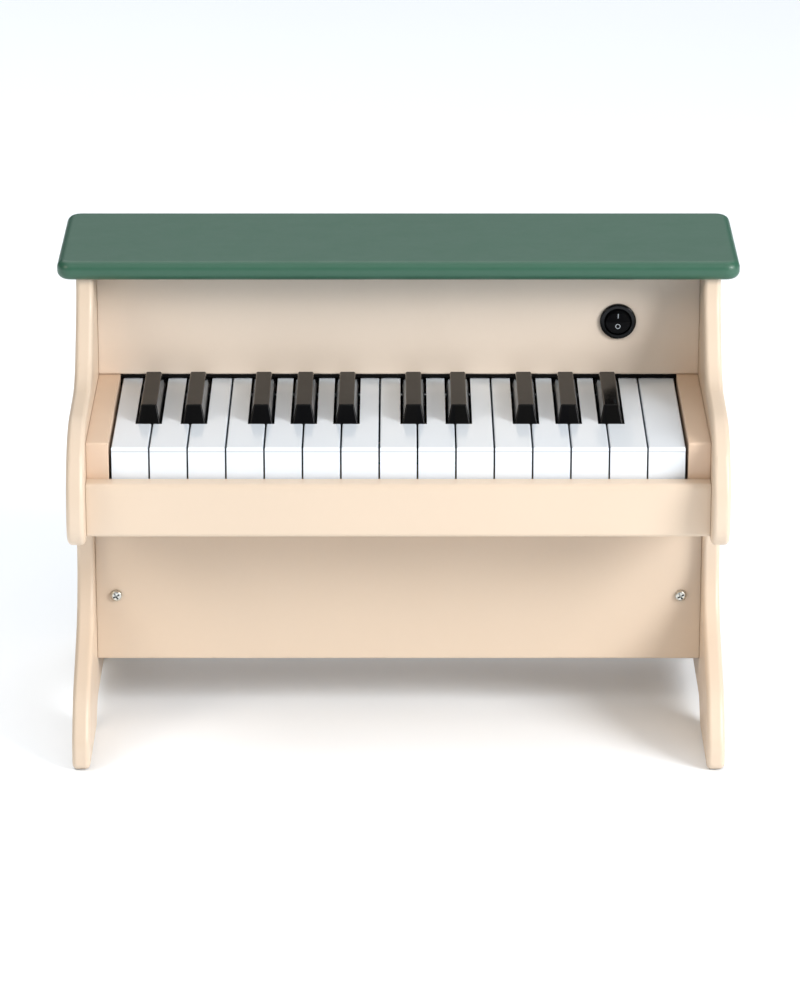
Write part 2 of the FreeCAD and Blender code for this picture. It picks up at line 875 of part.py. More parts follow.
def hinge_tools(name, left, right):
    """What is cut from a key's tail: room for the comb's fins, and the axle's bore."""
    spans = ("key_wall + hinge_inset", "hinge_length + key_wall", "key_height")
    slots = [
        box(f"{name}_slot_{side}", (x, "hinge_y", "key_bottom"), spans)
        for side, x in (("left", f"{left} - key_wall"), ("right", f"{right} - hinge_inset"))
    ]
    start = (left, "axle_y", "axle_z")
    return slots + [rod(f"{name}_bore", "axle_radius + axle_fit", f"{right} - {left}", start, ALONG_X)]


def hollow(name, left, right, front, rear):
    """The room under a key's skin, between its walls."""
    return box(
        name,
        (f"{left} + key_wall", front, "key_bottom - key_wall"),
        (f"{right} - {left} - 2 * key_wall", f"{rear} - ({front})", "key_height - key_skin + key_wall"),
    )


def notch(name, low, high):
    """What is cut from a white key's side for the black key beside it."""
    corner = (low, "key_front + head_length", "key_bottom - key_wall")
    spans = (f"{high} - {low}", "key_length - head_length + key_wall", "key_height + 2 * key_wall")
    return box(name, corner, spans)


def plunger(name, left, right):
    """The rib under a key that presses its rubber dome."""
    corner = (f"{left} + key_wall / 2", "plunger_y - plunger_length / 2", "key_bottom")
    spans = (f"{right} - {left} - key_wall", "plunger_length", "key_height - key_skin / 2")
    return box(name, corner, spans)


def white_key(index):
    """A hollow white key with its tail narrowed beside the black keys."""
    label = f"white_key_{index + 1:02d}"
    left, right, tail_left, tail_right = white_edges(index)
    spans = ("key_width", "key_length", "key_height")
    blank = box(f"{label}_blank", (left, "key_front", "key_bottom"), spans)
    front, top = size("key_front"), size("key_top")
    flanks = (size(left), size(right))
    soft = rounded(
        f"{label}_soft",
        blank,
        "key_rounding",
        lambda edge: on_plane(edge, "z", top)
        and (on_plane(edge, "y", front) or any(on_plane(edge, "x", flank) for flank in flanks)),
    )
    inside = "key_front + key_wall"
    tools = []
    if tail_left != left:
        tools.append(notch(f"{label}_notch_left", f"({left} - key_wall)", tail_left))
    if tail_right != right:
        tools.append(notch(f"{label}_notch_right", tail_right, f"({right} + key_wall)"))
    tools += [
        hollow(f"{label}_head_room", left, right, inside, "key_front + head_length - key_wall"),
        hollow(f"{label}_tail_room", tail_left, tail_right, inside, "hinge_y"),
    ]
    front_cut = box(
        f"{label}_front_cut",
        (left, "key_front", "key_bottom"),
        ("key_width", "lip_reach", "key_height - lip_height"),
    )
    shell = cut(f"{label}_shell", soft, front_cut, *tools)
    ribbed = join(f"{label}_ribbed", shell, plunger(f"{label}_plunger", tail_left, tail_right))
    return node(label, cut(label, ribbed, *hinge_tools(label, tail_left, tail_right)))


def black_cap(name, x):
    """The raised part of a black key: flared sides and a sloping front, with rounded edges."""
    cap = doc.addObject("Part::Wedge", f"{name}_wedge")
    bind(
        cap,
        Xmin="-black_width / 2",
        Xmax="black_width / 2",
        X2min="-black_crest / 2",
        X2max="black_crest / 2",
        Ymin="0",
        Ymax="black_rise",
        Zmin="-black_length",
        Zmax="0",
        Z2min="black_heel - black_length",
        Z2max="-black_slope",
    )
    place(cap, x, "key_front + black_setback", "key_top", TOWARDS_FRONT)
    base = size("key_top")
    return rounded(f"{name}_cap", cap, "black_rounding", lambda edge: not on_plane(edge, "z", base))


def black_key(number, joint, spread):
    """A hollow black key: stem, raised cap and hinged tail."""
    label = f"black_key_{number + 1:02d}"
    x = black_x(joint, spread)
    left, right = f"({x} - black_width / 2)", f"({x} + black_width / 2)"
    front = "key_front + black_setback"
    spans = ("black_width", "key_length - black_setback", "key_height")
    stem = box(f"{label}_stem", (left, front, "key_bottom"), spans)
    room = hollow(f"{label}_room", left, right, f"{front} + key_wall", "hinge_y")
    shell = cut(f"{label}_shell", stem, room)
    whole = join(f"{label}_whole", shell, black_cap(label, x), plunger(f"{label}_plunger", left, right))
    return node(label, cut(label, whole, *hinge_tools(label, left, right)))


# Key works


def key_axle():
    """The steel rod that every key turns on."""
    length = "2 * (keys_half + axle_stub)"
    bar = rod("key_axle", "axle_radius", length, ("-keys_half - axle_stub", "axle_y", "axle_z"), ALONG_X)
    return node("key_axle", bar)


def axle_comb():
    """The comb on the key bed whose fins carry the axle."""
    strip = box(
        "comb_strip",
        ("-keys_half - fin_thickness", "fin_y", "bed_top"),
        ("2 * (keys_half + fin_thickness)", "fin_depth", "comb_base"),
    )
    fins = [
        box(
            f"comb_fin_{joint}",
            (f"{joint_x(joint)} - fin_thickness / 2", "fin_y", "bed_top"),
            ("fin_thickness", "fin_depth", "axle_z + fin_cap - bed_top"),
        )
        for joint in FIN_JOINTS
    ]
    bore = rod(
        "comb_bore",
        "axle_radius + axle_fit",
        "2 * (keys_half + axle_stub)",
        ("-keys_half - axle_stub", "axle_y", "axle_z"),
        ALONG_X,
    )
    slot = ribbon_slot("comb_slot", "fin_y", "fin_depth")
    return node("axle_comb", cut("axle_comb", join("comb_blank", strip, *fins), bore, slot))


def key_strip(name, y, z, width, height):
    """A strip along the whole keyboard."""
    return box(name, ("-contact_half", y, z), ("2 * contact_half", width, height))


def key_battens():
    """Strips on the key bed under the front stop, the contact board and the rear rest."""
    high = "contact_z - bed_top"
    rear_y = "contact_y + contact_width - batten_width"
    front = cut(
        "contact_batten_front",
        key_strip("contact_front_blank", "contact_y", "bed_top", "batten_width", high),
        *contact_pilots("front", "contact_y + batten_width / 2"),
    )
    rear = cut(
        "contact_batten_rear",
        key_strip("contact_rear_blank", rear_y, "bed_top", "batten_width", high),
        *contact_pilots("rear", f"{rear_y} + batten_width / 2"),
        ribbon_slot("contact_batten_slot", rear_y, "batten_width"),
    )
    rest = cut(
        "rest_batten",
        key_strip("rest_batten_blank", "rest_y", "bed_top", "rest_width", "rest_z - bed_top"),
        ribbon_slot("rest_batten_slot", "rest_y", "rest_width"),
    )
    strips = [
        key_strip("stop_batten", "key_front + stop_setback", "bed_top", "stop_width", "stop_z - bed_top"),
        front,
        rear,
        rest,
    ]
    return node("key_battens", group("key_battens", strips))


def key_felts():
    """Felt under the key fronts and under the key tails."""
    strips = [
        key_strip("stop_felt", "key_front + stop_setback", "stop_z", "stop_width", "felt_thickness"),
        key_strip("rest_felt", "rest_y", "rest_z", "rest_width", "felt_thickness"),
    ]
    return node("key_felts", group("key_felts", strips))


def contact_pilots(name, y):
    """Screw holes through the contact board and its batten."""
    radius = "small_shank_radius + screw_fit"
    return [
        rod(f"contact_pilot_{name}_{index}", radius, "contact_shank", (x, y, "contact_top - contact_shank"))
        for index, x in enumerate(CONTACT_SCREW_COLUMNS)
    ]


def contact_board():
    """The printed board under the keys."""
    blank = key_strip("contact_blank", "contact_y", "contact_z", "contact_width", "circuit_thickness")
    front = contact_pilots("board_front", "contact_y + batten_width / 2")
    rear = contact_pilots("board_rear", "contact_y + contact_width - batten_width / 2")
    return node("contact_board", cut("contact_board", blank, *front, *rear))


def contact_strip():
    """The rubber sheet with one dome under each key."""
    low_y = "plunger_y - strip_width / 2"
    base = key_strip("contact_sheet", low_y, "contact_top", "strip_width", "strip_thickness")
    foot = "dome_top - dome_height"
    middles = []
    for index in range(WHITE_KEY_COUNT):
        _, _, tail_left, tail_right = white_edges(index)
        middles.append(f"({tail_left} + {tail_right}) / 2")
    middles += [black_x(joint, spread) for joint, spread in BLACK_KEYS]
    domes = [
        taper(f"dome_{index}", "dome_radius", "dome_crown", "dome_height", (x, "plunger_y", foot))
        for index, x in enumerate(middles)
    ]
    return node("contact_strip", join("contact_strip", base, *domes))


# Switch


def switch_housing():
    """The round switch body: bezel, barrel and the bearings of the rocker."""
    bezel = rod(
        "bezel_blank",
        "bezel_radius",
        "bezel_thickness",
        ("switch_x", "panel_y - bezel_thickness", "switch_height"),
        ALONG_Y,
    )
    front = size("panel_y - bezel_thickness")
    soft = rounded("bezel", bezel, "bezel_rounding", lambda edge: on_plane(edge, "y", front))
    barrel = rod("barrel", "barrel_radius", "barrel_depth", ("switch_x", "panel_y", "switch_height"), ALONG_Y)
    bore = rod(
        "barrel_room",
        "barrel_bore",
        "bezel_thickness + barrel_depth - barrel_floor",
        ("switch_x", "panel_y - bezel_thickness", "switch_height"),
        ALONG_Y,
    )
    bearing = rod(
        "rocker_bearing",
        "trunnion_radius + trunnion_fit",
        "2 * barrel_radius",
        ("switch_x - barrel_radius", "pivot_y", "switch_height"),
        ALONG_X,
    )
    return node("switch_housing", cut("switch_housing", join("switch_blank", soft, barrel), bore, bearing))


def switch_rocker():
    """The rocker: a ball with two flat faces that meet in a shallow valley, on two trunnions."""
    ball = doc.addObject("Part::Sphere", "rocker_ball")
    bind(ball, Radius="rocker_radius")
    span = "4 * rocker_radius"
    halves = []
    for side, turn in (("upper", 1), ("lower", -1)):
        lean = FreeCAD.Rotation(FreeCAD.Vector(1, 0, 0), turn * size("rocker_tilt"))
        face = box(f"rocker_{side}", ("0", "0", "0"), (span, span, span))
        y = f"({2 * turn} * rocker_radius) * sin(rocker_tilt) - rocker_face"
        place(face, "-2 * rocker_radius", y, "-2 * rocker_radius * cos(rocker_tilt)", lean)
        halves.append(face)
    paddle = doc.addObject("Part::Common", "rocker_paddle")
    paddle.Base = ball
    paddle.Tool = join("rocker_faces", *halves)
    pins = rod("rocker_pins", "trunnion_radius", "2 * trunnion_reach", ("-trunnion_reach", "0", "0"), ALONG_X)
    rocker = join("switch_rocker", paddle, pins)
    place(rocker, "switch_x", "pivot_y", "switch_height")
    rocker.Placement.Rotation = FreeCAD.Rotation(FreeCAD.Vector(1, 0, 0), size("rocker_tilt"))
    return node("switch_rocker", rocker)


def switch_terminals():
    """Two blades behind the switch."""
    blades = [
        box(
            f"blade_{side}",
            ("switch_x - blade_width / 2", "barrel_rear", f"switch_height + {shift} - blade_thickness / 2"),
            ("blade_width", "blade_length", "blade_thickness"),
        )
        for side, shift in (("upper", "blade_spacing / 2"), ("lower", "(-blade_spacing / 2)"))
    ]
    return node("switch_terminals", group("switch_terminals", blades))


# Sound


def speaker_screw_spots():
    """Four screws round the speaker."""
    spots = []
    for across in ("-1", "1"):
        for up in ("-1", "1"):
            x = f"speaker_x + {across} * speaker_screw_circle * sqrt(0.5)"
            z = f"speaker_height + {up} * speaker_screw_circle * sqrt(0.5)"
            spots.append((x, z))
    return spots


def screw_holes(name, spots, y, depth):
    """Holes for small screws that run front to back."""
    radius = "small_shank_radius + screw_fit"
    return [rod(f"{name}_{index}", radius, depth, (x, y, z), ALONG_Y) for index, (x, z) in enumerate(spots)]


def speaker_basket():
    """The pressed basket: flange against the back panel and a neck that holds the magnet."""
    centre = ("speaker_x", "cone_y", "speaker_height")
    flange = rod("flange", "flange_radius", "flange_thickness", centre, ALONG_Y)
    neck_y = "cone_y - basket_depth"
    bowl = taper(
        "bowl",
        "basket_neck + basket_wall",
        "cone_radius + basket_wall",
        "basket_depth",
        ("speaker_x", neck_y, "speaker_height"),
        ALONG_Y,
    )
    room = taper(
        "bowl_room",
        "basket_neck",
        "cone_radius",
        "basket_depth - basket_wall",
        ("speaker_x", f"{neck_y} + basket_wall", "speaker_height"),
        ALONG_Y,
    )
    mouth_base = ("speaker_x", "cone_y - basket_wall / 2", "speaker_height")
    mouth = rod("bowl_mouth", "cone_radius", "flange_thickness + basket_wall", mouth_base, ALONG_Y)
    holes = screw_holes("flange_hole", speaker_screw_spots(), "cone_y", "flange_thickness")
    blank = join("basket_blank", flange, bowl)
    return node("speaker_basket", cut("speaker_basket", blank, room, mouth, *holes))


def speaker_cone():
    """The paper cone inside the basket, glued in the flange's mouth."""
    depth = "basket_depth - 2 * basket_wall"
    base = ("speaker_x", f"cone_y + flange_thickness - ({depth})", "speaker_height")
    neck = "basket_neck - cone_gap - 2 * cone_thickness"
    outer = taper("cone_outer", neck, "cone_radius", depth, base, ALONG_Y)
    inner = taper(
        "cone_inner",
        f"{neck} - cone_thickness",
        "cone_radius - cone_thickness",
        depth,
        ("speaker_x", f"cone_y + flange_thickness - ({depth}) + cone_thickness", "speaker_height"),
        ALONG_Y,
    )
    return node("speaker_cone", cut("speaker_cone", outer, inner))


def speaker_magnet():
    """The ring magnet behind the basket."""
    centre = ("speaker_x", "magnet_y", "speaker_height")
    return node("speaker_magnet", rod("speaker_magnet", "magnet_radius", "magnet_depth", centre, ALONG_Y))


# Power


def battery_box():
    """The open battery box behind its opening in the back panel."""
    corner = (
        "battery_offset - bay_length / 2 - box_wall",
        "back_y - bay_depth - box_wall",
        "battery_height - bay_height / 2 - box_wall",
    )
    spans = ("bay_length + 2 * box_wall", "bay_depth + box_wall", "bay_height + 2 * box_wall")
    room_corner = ("battery_offset - bay_length / 2", "back_y - bay_depth", "battery_height - bay_height / 2")
    room = box("battery_room", room_corner, ("bay_length", "bay_depth", "bay_height"))
    return node("battery_box", cut("battery_box", box("battery_shell", corner, spans), room))


def battery_cells():
    """The dry cells, side by side."""
    cells = [
        rod(
            f"cell_{index}",
            "cell_radius",
            "cell_length",
            (
                "battery_offset - cell_length / 2",
                "back_y - bay_depth + cell_radius + cell_seat",
                f"battery_height + ({index - CELL_COUNT // 2}) * cell_pitch",
            ),
            ALONG_X,
        )
        for index in range(CELL_COUNT)
    ]
    return node("battery_cells", group("battery_cells", cells))


def cover_screw_spots():
    """One screw at each end of the battery cover."""
    reach = "(bay_length + cover_margin) / 2"
    return [(f"battery_offset + {side} * {reach}", "battery_height") for side in ("-1", "1")]


def battery_cover():
    """The cover plate on the back panel, with a lip that locates it in the opening."""
    low_x, low_z = "battery_offset - bay_length / 2", "battery_height - bay_height / 2"
    plate = box(
        "cover_plate",
        (f"{low_x} - cover_margin", "back_face", f"{low_z} - cover_margin / 2"),
        ("bay_length + 2 * cover_margin", "cover_thickness", "bay_height + cover_margin"),
    )
    lip = box(
        "cover_lip_block",
        (f"{low_x} + cover_fit", "back_face - cover_lip", f"{low_z} + cover_fit"),
        ("bay_length - 2 * cover_fit", "cover_lip", "bay_height - 2 * cover_fit"),
    )
    holes = screw_holes("cover_hole", cover_screw_spots(), "back_face", "cover_thickness")
    return node("battery_cover", cut("battery_cover", join("cover_blank", plate, lip), *holes))


# Main board


def main_screw_spots():
    """Corners of the main board where it is screwed down."""
    return [
        (f"{across} * main_screw_x", y)
        for across in ("-1", "1")
        for y in ("main_y + main_margin", "main_y + main_width - main_margin")
    ]


def main_pilots(name):
    """Screw holes through the main board and its standoffs."""
    radius = "small_shank_radius + screw_fit"
    return [
        rod(f"{name}_{index}", radius, "main_shank", (x, y, "main_top - main_shank"))
        for index, (x, y) in enumerate(main_screw_spots())
    ]


def main_board():
    """The sound board on the key bed."""
    spans = ("main_length", "main_width", "circuit_thickness")
    blank = box("main_blank", ("-main_length / 2", "main_y", "main_z"), spans)
    return node("main_board", cut("main_board", blank, *main_pilots("main_hole")))


def board_standoffs():
    """Four spacers under the main board."""
    spacers = []
    for (x, y), pilot in zip(main_screw_spots(), main_pilots("standoff_pilot")):
        name = f"standoff_{len(spacers)}"
        blank = rod(f"{name}_blank", "standoff_radius", "main_rise", (x, y, "bed_top"))
        spacers.append(cut(name, blank, pilot))
    return node("board_standoffs", group("board_standoffs", spacers))


def board_components():
    """The sound chip and two capacitors."""
    middle = "main_y + main_width / 2"
    corner = ("-chip_length / 2", f"{middle} - chip_length / 2", "main_top")
    chip = box("chip", corner, ("chip_length", "chip_length", "chip_height"))
    cans = [
        rod(f"capacitor_{index}", "capacitor_radius", "capacitor_height", (x, middle, "main_top"))
        for index, x in enumerate(("-chip_length", "chip_length"))
    ]
    return node("board_components", group("board_components", [chip, *cans]))


# Wiring


def ribbon_slot(name, y, width):
    """Room for the ribbon under a strip on the key bed."""
    corner = ("-ribbon_width / 2 - ribbon_room", y, "bed_top")
    return box(name, corner, ("ribbon_width + 2 * ribbon_room", width, "ribbon_thickness + ribbon_room"))


def ribbon():
    """The flat cable on the key bed from the contact board to the main board."""
    left = "-ribbon_width / 2"
    span = "ribbon_width"
    flat = box(
        "ribbon_flat",
        (left, "ribbon_front", "bed_top"),
        (span, "ribbon_rear - ribbon_front", "ribbon_thickness"),
    )
    front = box(
        "ribbon_rise",
        (left, "ribbon_front", "bed_top"),
        (span, "ribbon_thickness", "contact_z - bed_top"),
    )
    rear = box("ribbon_end", (left, "ribbon_rear", "bed_top"), (span, "ribbon_thickness", "main_rise"))
    return join("ribbon", flat, front, rear)


def roomy_bend(spots, bend):
    """The bend, or the largest one that the shortest run has room for."""
    runs = [(after - before).Length for before, after in zip(spots, spots[1:])]
    room = [runs[0], runs[-1], *[run / 2 for run in runs[1:-1]]]
    return min(bend, RUN_SHARE * min(room))


def bent_path(spots, bend):
    """Straight runs through spots, joined by tangent arcs."""
    edges = []
    start = spots[0]
    bend = roomy_bend(spots, bend)
    for before, corner, after in zip(spots, spots[1:], spots[2:]):
        arrive = (corner - before).normalize()
        leave = (after - corner).normalize()
        half_turn = arrive.getAngle(leave) / 2
        trim = bend * math.tan(half_turn)
        sag = bend * (1 / math.cos(half_turn) - 1)
        first, last = corner - arrive * trim, corner + leave * trim
        edges.append(Part.makeLine(start, first))
        edges.append(Part.Arc(first, corner + (leave - arrive).normalize() * sag, last).toShape())
        start = last
    edges.append(Part.makeLine(start, spots[-1]))
    return Part.Wire(edges)


def lead(name, start, landing):
    """A wire that runs back or forward from its start, across, and down on the main board."""
    x, _, z = start
    formulas = [start, (x, "landing_y", z), (landing, "landing_y", z), (landing, "landing_y", "main_top")]
    spots = [FreeCAD.Vector(*[size(text) for text in spot]) for spot in formulas]
    path = doc.addObject("Part::Feature", f"{name}_path")
    path.Shape = bent_path(spots, size("wire_bend"))
    section = doc.addObject("Part::Circle", f"{name}_section")
    bind(section, Radius="wire_radius")
    place(section, *start, ALONG_Y)
    tube = doc.addObject("Part::Sweep", name)
    tube.Sections = [section]
    tube.Spine = (path, [f"Edge{index + 1}" for index in range(len(path.Shape.Edges))])
    tube.Solid = True
    return tube


def wire_leads():
    """Leads of the switch, the battery box and the speaker, and the ribbon of the contact board."""
    wires = [ribbon()]
    for strand, sign in enumerate(("-", "")):
        near = f"main_screw_x - ({strand} + 1.5) * wire_spread"
        far = f"({near} - 3 * wire_spread)"
        blade = f"switch_height + ({sign}blade_spacing / 2)"
        shift = f"({sign}wire_spread / 2)"
        switch = ("switch_x", "barrel_rear + blade_length", blade)
        box_front = "back_y - bay_depth - box_wall"
        battery = ("battery_offset - wire_spread", box_front, f"battery_height + {shift}")
        speaker = ("speaker_x + speaker_screw_circle", "cone_y", f"speaker_height + {shift}")
        wires += [
            lead(f"switch_lead_{strand}", switch, far),
            lead(f"battery_lead_{strand}", battery, near),
            lead(f"speaker_lead_{strand}", speaker, f"-{far}"),
        ]
    return node("wire_leads", group("wire_leads", wires))


# Screws


def pan_screw(name, head_radius, head_height, shank_radius, shank_length, spot, turn):
    """A pan-head screw with a cross recess; its head faces +Z before the turn."""
    head = rod(f"{name}_head_blank", head_radius, head_height, ("0", "0", "0"))
    top = size(head_height)
    softness = f"{head_height} * head_softness"
    soft = rounded(f"{name}_head", head, softness, lambda edge: on_plane(edge, "z", top))
    shank = rod(f"{name}_shank", shank_radius, shank_length, ("0", "0", f"-({shank_length})"))
    slots = []
    floor = f"{head_height} * slot_floor"
    for across, along in (("slot_share", "slot_reach"), ("slot_reach", "slot_share")):
        corner = (f"-{across} * {head_radius} / 2", f"-{along} * {head_radius} / 2", floor)
        spans = (f"{across} * {head_radius}", f"{along} * {head_radius}", head_height)
        slots.append(box(f"{name}_slot_{len(slots)}", corner, spans))
    screw = cut(name, join(f"{name}_blank", soft, shank), *slots)
    place(screw, *spot, turn)
    return screw


def lower_panel_screws():
    """The two screws on show in the lower front panel."""
    screws = [
        pan_screw(
            f"{side}_lower_screw",
            "head_radius",
            "head_height",
            "shank_radius",
            "shank_length",
            (x, "lower_y", "screw_z"),
            ASKEW_TO_FRONT,
        )
        for side, x in (("left", "-screw_x"), ("right", "screw_x"))
    ]
    return node("lower_panel_screws", group("lower_panel_screws", screws))


def rear_screw_spots():
    """Screws that hold the back panel to the rear battens."""
    low, high = "bed_top + rear_screw_margin", "case_height - rear_screw_margin"
    heights = (low, "(bed_top + case_height) / 2", high)
    return [(x, z) for x in ("-post_x", "post_x") for z in heights]


def small_screw(name, length, spot, turn):
    """A small pan-head screw."""
    return pan_screw(name, "small_head_radius", "small_head_height", "small_shank_radius", length, spot, turn)


def rear_screws():
    """Screws of the back panel, of the battery cover and of the speaker."""
    screws = []
    for x, z in rear_screw_spots():
        name = f"back_screw_{len(screws)}"
        screws.append(small_screw(name, "rear_shank_length", (x, "back_face", z), ALONG_Y))
    for x, z in cover_screw_spots():
        spot = (x, "back_face + cover_thickness", z)
        length = "cover_thickness + back_thickness"
        screws.append(small_screw(f"cover_screw_{len(screws)}", length, spot, ALONG_Y))
    for x, z in speaker_screw_spots():
        name = f"speaker_screw_{len(screws)}"
        screws.append(small_screw(name, "speaker_shank_length", (x, "cone_y", z), TOWARDS_FRONT))
    return node("rear_screws", group("rear_screws", screws))


def board_screws():
    """Screws of the main board and of the contact board."""
    spots = [(x, y, "main_top", "main_shank") for x, y in main_screw_spots()]
    for x in CONTACT_SCREW_COLUMNS:
        for y in ("contact_y + batten_width / 2", "contact_y + contact_width - batten_width / 2"):
            spots.append((x, y, "contact_top", "contact_shank"))
    screws = [
        small_screw(f"board_screw_{index}", length, spot, UPRIGHT)
        for index, (*spot, length) in enumerate(spots)
    ]
    return node("board_screws", group("board_screws", screws))


def check_document():
    """Stop if any object failed or any sub-part has no sound shape."""
    doc.recompute()
    for item in doc.Objects:
        if "Invalid" in item.State or "Error" in item.State:
            raise RuntimeError(f"{item.Name} failed: {item.State}")
    for item in nodes:
        if item.Shape.isNull() or not item.Shape.isValid() or not item.Shape.Solids:
            raise RuntimeError(f"{item.Label} has no valid solid")


def export_nodes():
    """Write each sub-part to its own file."""
    os.makedirs("parts", exist_ok=True)
    for item in nodes:
        item.Shape.exportStep(os.path.join("parts", f"{item.Label}.step"))


def main():
    """Build every sub-part, check the document and export it."""
    fill_sheet()
    side_board("left_side_board", "-outer_half")
    side_board("right_side_board", "inner_half")
    lid()
    lid_dowels()
    upper_front_panel()
    lower_front_panel()
    back_panel()
    key_rail()
    key_cheek("left_key_cheek", "-inner_half")
    key_cheek("right_key_cheek", "inner_half - cheek_width")
    key_bed()
    rear_battens()
    corner_blocks()
    for index in range(WHITE_KEY_COUNT):
        white_key(index)
    for number, (joint, spread) in enumerate(BLACK_KEYS):
        black_key(number, joint, spread)
    key_axle()
    axle_comb()
    key_battens()
    key_felts()
    contact_board()
    contact_strip()
    switch_housing()
    switch_rocker()
    switch_terminals()
    speaker_basket()
    speaker_cone()
    speaker_magnet()
    battery_box()
    battery_cells()
    battery_cover()
    main_board()
    board_standoffs()
    board_components()
    lower_panel_screws()
    rear_screws()
    board_screws()
    wire_leads()
    check_document()
    export_nodes()


main()
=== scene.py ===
"""Toy piano: the finishes, switch marks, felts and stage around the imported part.

Laid out as an add-on and run as a script. Lengths are in metres in the part's own frame:
X runs along the keys, Y from front to back, Z up from the floor.
"""

import json
import math

import bmesh
import bpy
from bpy.props import FloatProperty, FloatVectorProperty, PointerProperty
from bpy.types import Operator, Panel, PropertyGroup
from mathutils import Matrix, Vector, noise


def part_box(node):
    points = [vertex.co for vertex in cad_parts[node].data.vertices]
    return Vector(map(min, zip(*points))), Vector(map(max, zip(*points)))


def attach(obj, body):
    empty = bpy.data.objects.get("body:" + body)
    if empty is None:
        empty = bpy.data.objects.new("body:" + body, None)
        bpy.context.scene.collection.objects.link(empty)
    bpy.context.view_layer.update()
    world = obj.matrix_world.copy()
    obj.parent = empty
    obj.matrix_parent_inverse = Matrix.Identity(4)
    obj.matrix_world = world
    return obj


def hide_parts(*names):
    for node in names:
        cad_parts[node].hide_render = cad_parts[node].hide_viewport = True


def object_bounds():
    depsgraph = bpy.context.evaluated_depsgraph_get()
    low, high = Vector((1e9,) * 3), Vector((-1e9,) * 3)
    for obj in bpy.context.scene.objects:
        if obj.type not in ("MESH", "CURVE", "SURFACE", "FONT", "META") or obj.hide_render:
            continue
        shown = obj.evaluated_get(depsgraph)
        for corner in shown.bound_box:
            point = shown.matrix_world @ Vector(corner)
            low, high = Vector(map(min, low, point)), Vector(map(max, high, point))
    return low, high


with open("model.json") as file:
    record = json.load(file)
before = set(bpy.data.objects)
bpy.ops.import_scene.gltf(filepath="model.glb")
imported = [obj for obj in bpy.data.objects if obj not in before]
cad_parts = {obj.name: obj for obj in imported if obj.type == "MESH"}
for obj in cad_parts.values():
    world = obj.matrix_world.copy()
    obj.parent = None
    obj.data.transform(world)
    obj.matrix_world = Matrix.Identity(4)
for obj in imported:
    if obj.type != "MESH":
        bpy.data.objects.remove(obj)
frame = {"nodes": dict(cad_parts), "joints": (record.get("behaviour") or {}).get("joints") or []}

bl_info = {
    "name": "Toy Piano",
    "version": (1, 0, 0),
    "blender": (4, 5, 0),
    "location": "View3D > Sidebar > Toy Piano",
    "description": "Finishes, switch marks, felts and stage for a small upright toy piano",
    "category": "Object",
}

CAD_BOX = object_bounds()
MM = 0.001
ALONG_X, ALONG_Y, ALONG_Z = range(3)

PAINTED_BOARDS = (
    "left_side_board", "right_side_board", "lower_front_panel", "back_panel",
    "key_rail",
)
WHITE_KEYS = tuple(sorted(name for name in frame["nodes"] if name.startswith("white_key_")))
BLACK_KEYS = tuple(sorted(name for name in frame["nodes"] if name.startswith("black_key_")))
KEY_PITCH = (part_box(WHITE_KEYS[-1])[0].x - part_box(WHITE_KEYS[0])[0].x) / (len(WHITE_KEYS) - 1)
ROCKER_JOINT = next(joint for joint in frame["joints"] if joint["name"] == "rocker_tilt")


# ---- Sizes and colours ----

def colour(name, description, default):
    """A colour that can be changed, in linear light."""
    return FloatVectorProperty(name=name, description=description, default=default,
                               subtype="COLOR", size=3, min=0, max=1)


def length(name, description, default):
    """A length that can be changed, in metres."""
    return FloatProperty(name=name, description=description, default=default,
                         min=0, precision=5, subtype="DISTANCE", unit="LENGTH")


def share(name, description, default):
    """A share from 0 to 1 that can be changed."""
    return FloatProperty(name=name, description=description, default=default,
                         min=0, max=1, subtype="FACTOR")


def angle(name, description, degrees):
    """An angle that can be changed."""
    return FloatProperty(name=name, description=description, default=math.radians(degrees),
                         subtype="ANGLE", unit="ROTATION")


def strength(name, description, default):
    """A light's strength that can be changed, in watts per square metre."""
    return FloatProperty(name=name, description=description, default=default, min=0)


def power(name, description, default):
    """A light's power that can be changed, in watts."""
    return FloatProperty(name=name, description=description, default=default, min=0,
                         subtype="POWER", unit="POWER")


class PIANO_PG_cabinet(PropertyGroup):
    """Painted boards and bare timber."""
    cream: colour("Cream", "Paint of the boards", (0.69, 0.556, 0.428))
    # Painted light: the upper front panel's cream is paler than the boards' to stand in for the
    # extra light that falls on it.
    lit_pale_cream: colour("Pale cream", "Paler paint of the upper front panel", (0.86, 0.735, 0.615))
    # Painted shade: the cheeks' cream is warmer and deeper than the boards' to stand in for the
    # warm bounced light in their shade.
    shaded_warm_cream: colour("Warm cream", "Warmer paint of the cheeks", (0.70, 0.522, 0.385))
    # The two edge colours are lighter paint along the edges: partly rubbed paint, partly painted
    # highlight.
    cream_rub_and_highlight: colour("Cream edge", "Paint where it is rubbed at the edges", (0.93, 0.80, 0.66))
    green: colour("Green", "Paint of the lid", (0.031, 0.106, 0.065))
    green_rub_and_highlight: colour("Green edge", "Lid paint where it is rubbed at edges", (0.12, 0.30, 0.22))
    gloss: share("Paint roughness", "Mean roughness of the satin paint", 0.38)
    peel: length("Spray texture", "Width of the sprayed paint's fine dimples", 1.3 * MM)
    # The band that rub sets is lightened partly by rubbing and partly as painted highlight.
    rub: length("Rubbed width", "Width of the rubbed band along an edge", 1.1 * MM)
    timber: colour("Timber", "Pale wood between the grain lines", (0.56, 0.37, 0.19))
    timber_grain: colour("Timber grain", "Grain lines of the bare wood", (0.35, 0.19, 0.08))


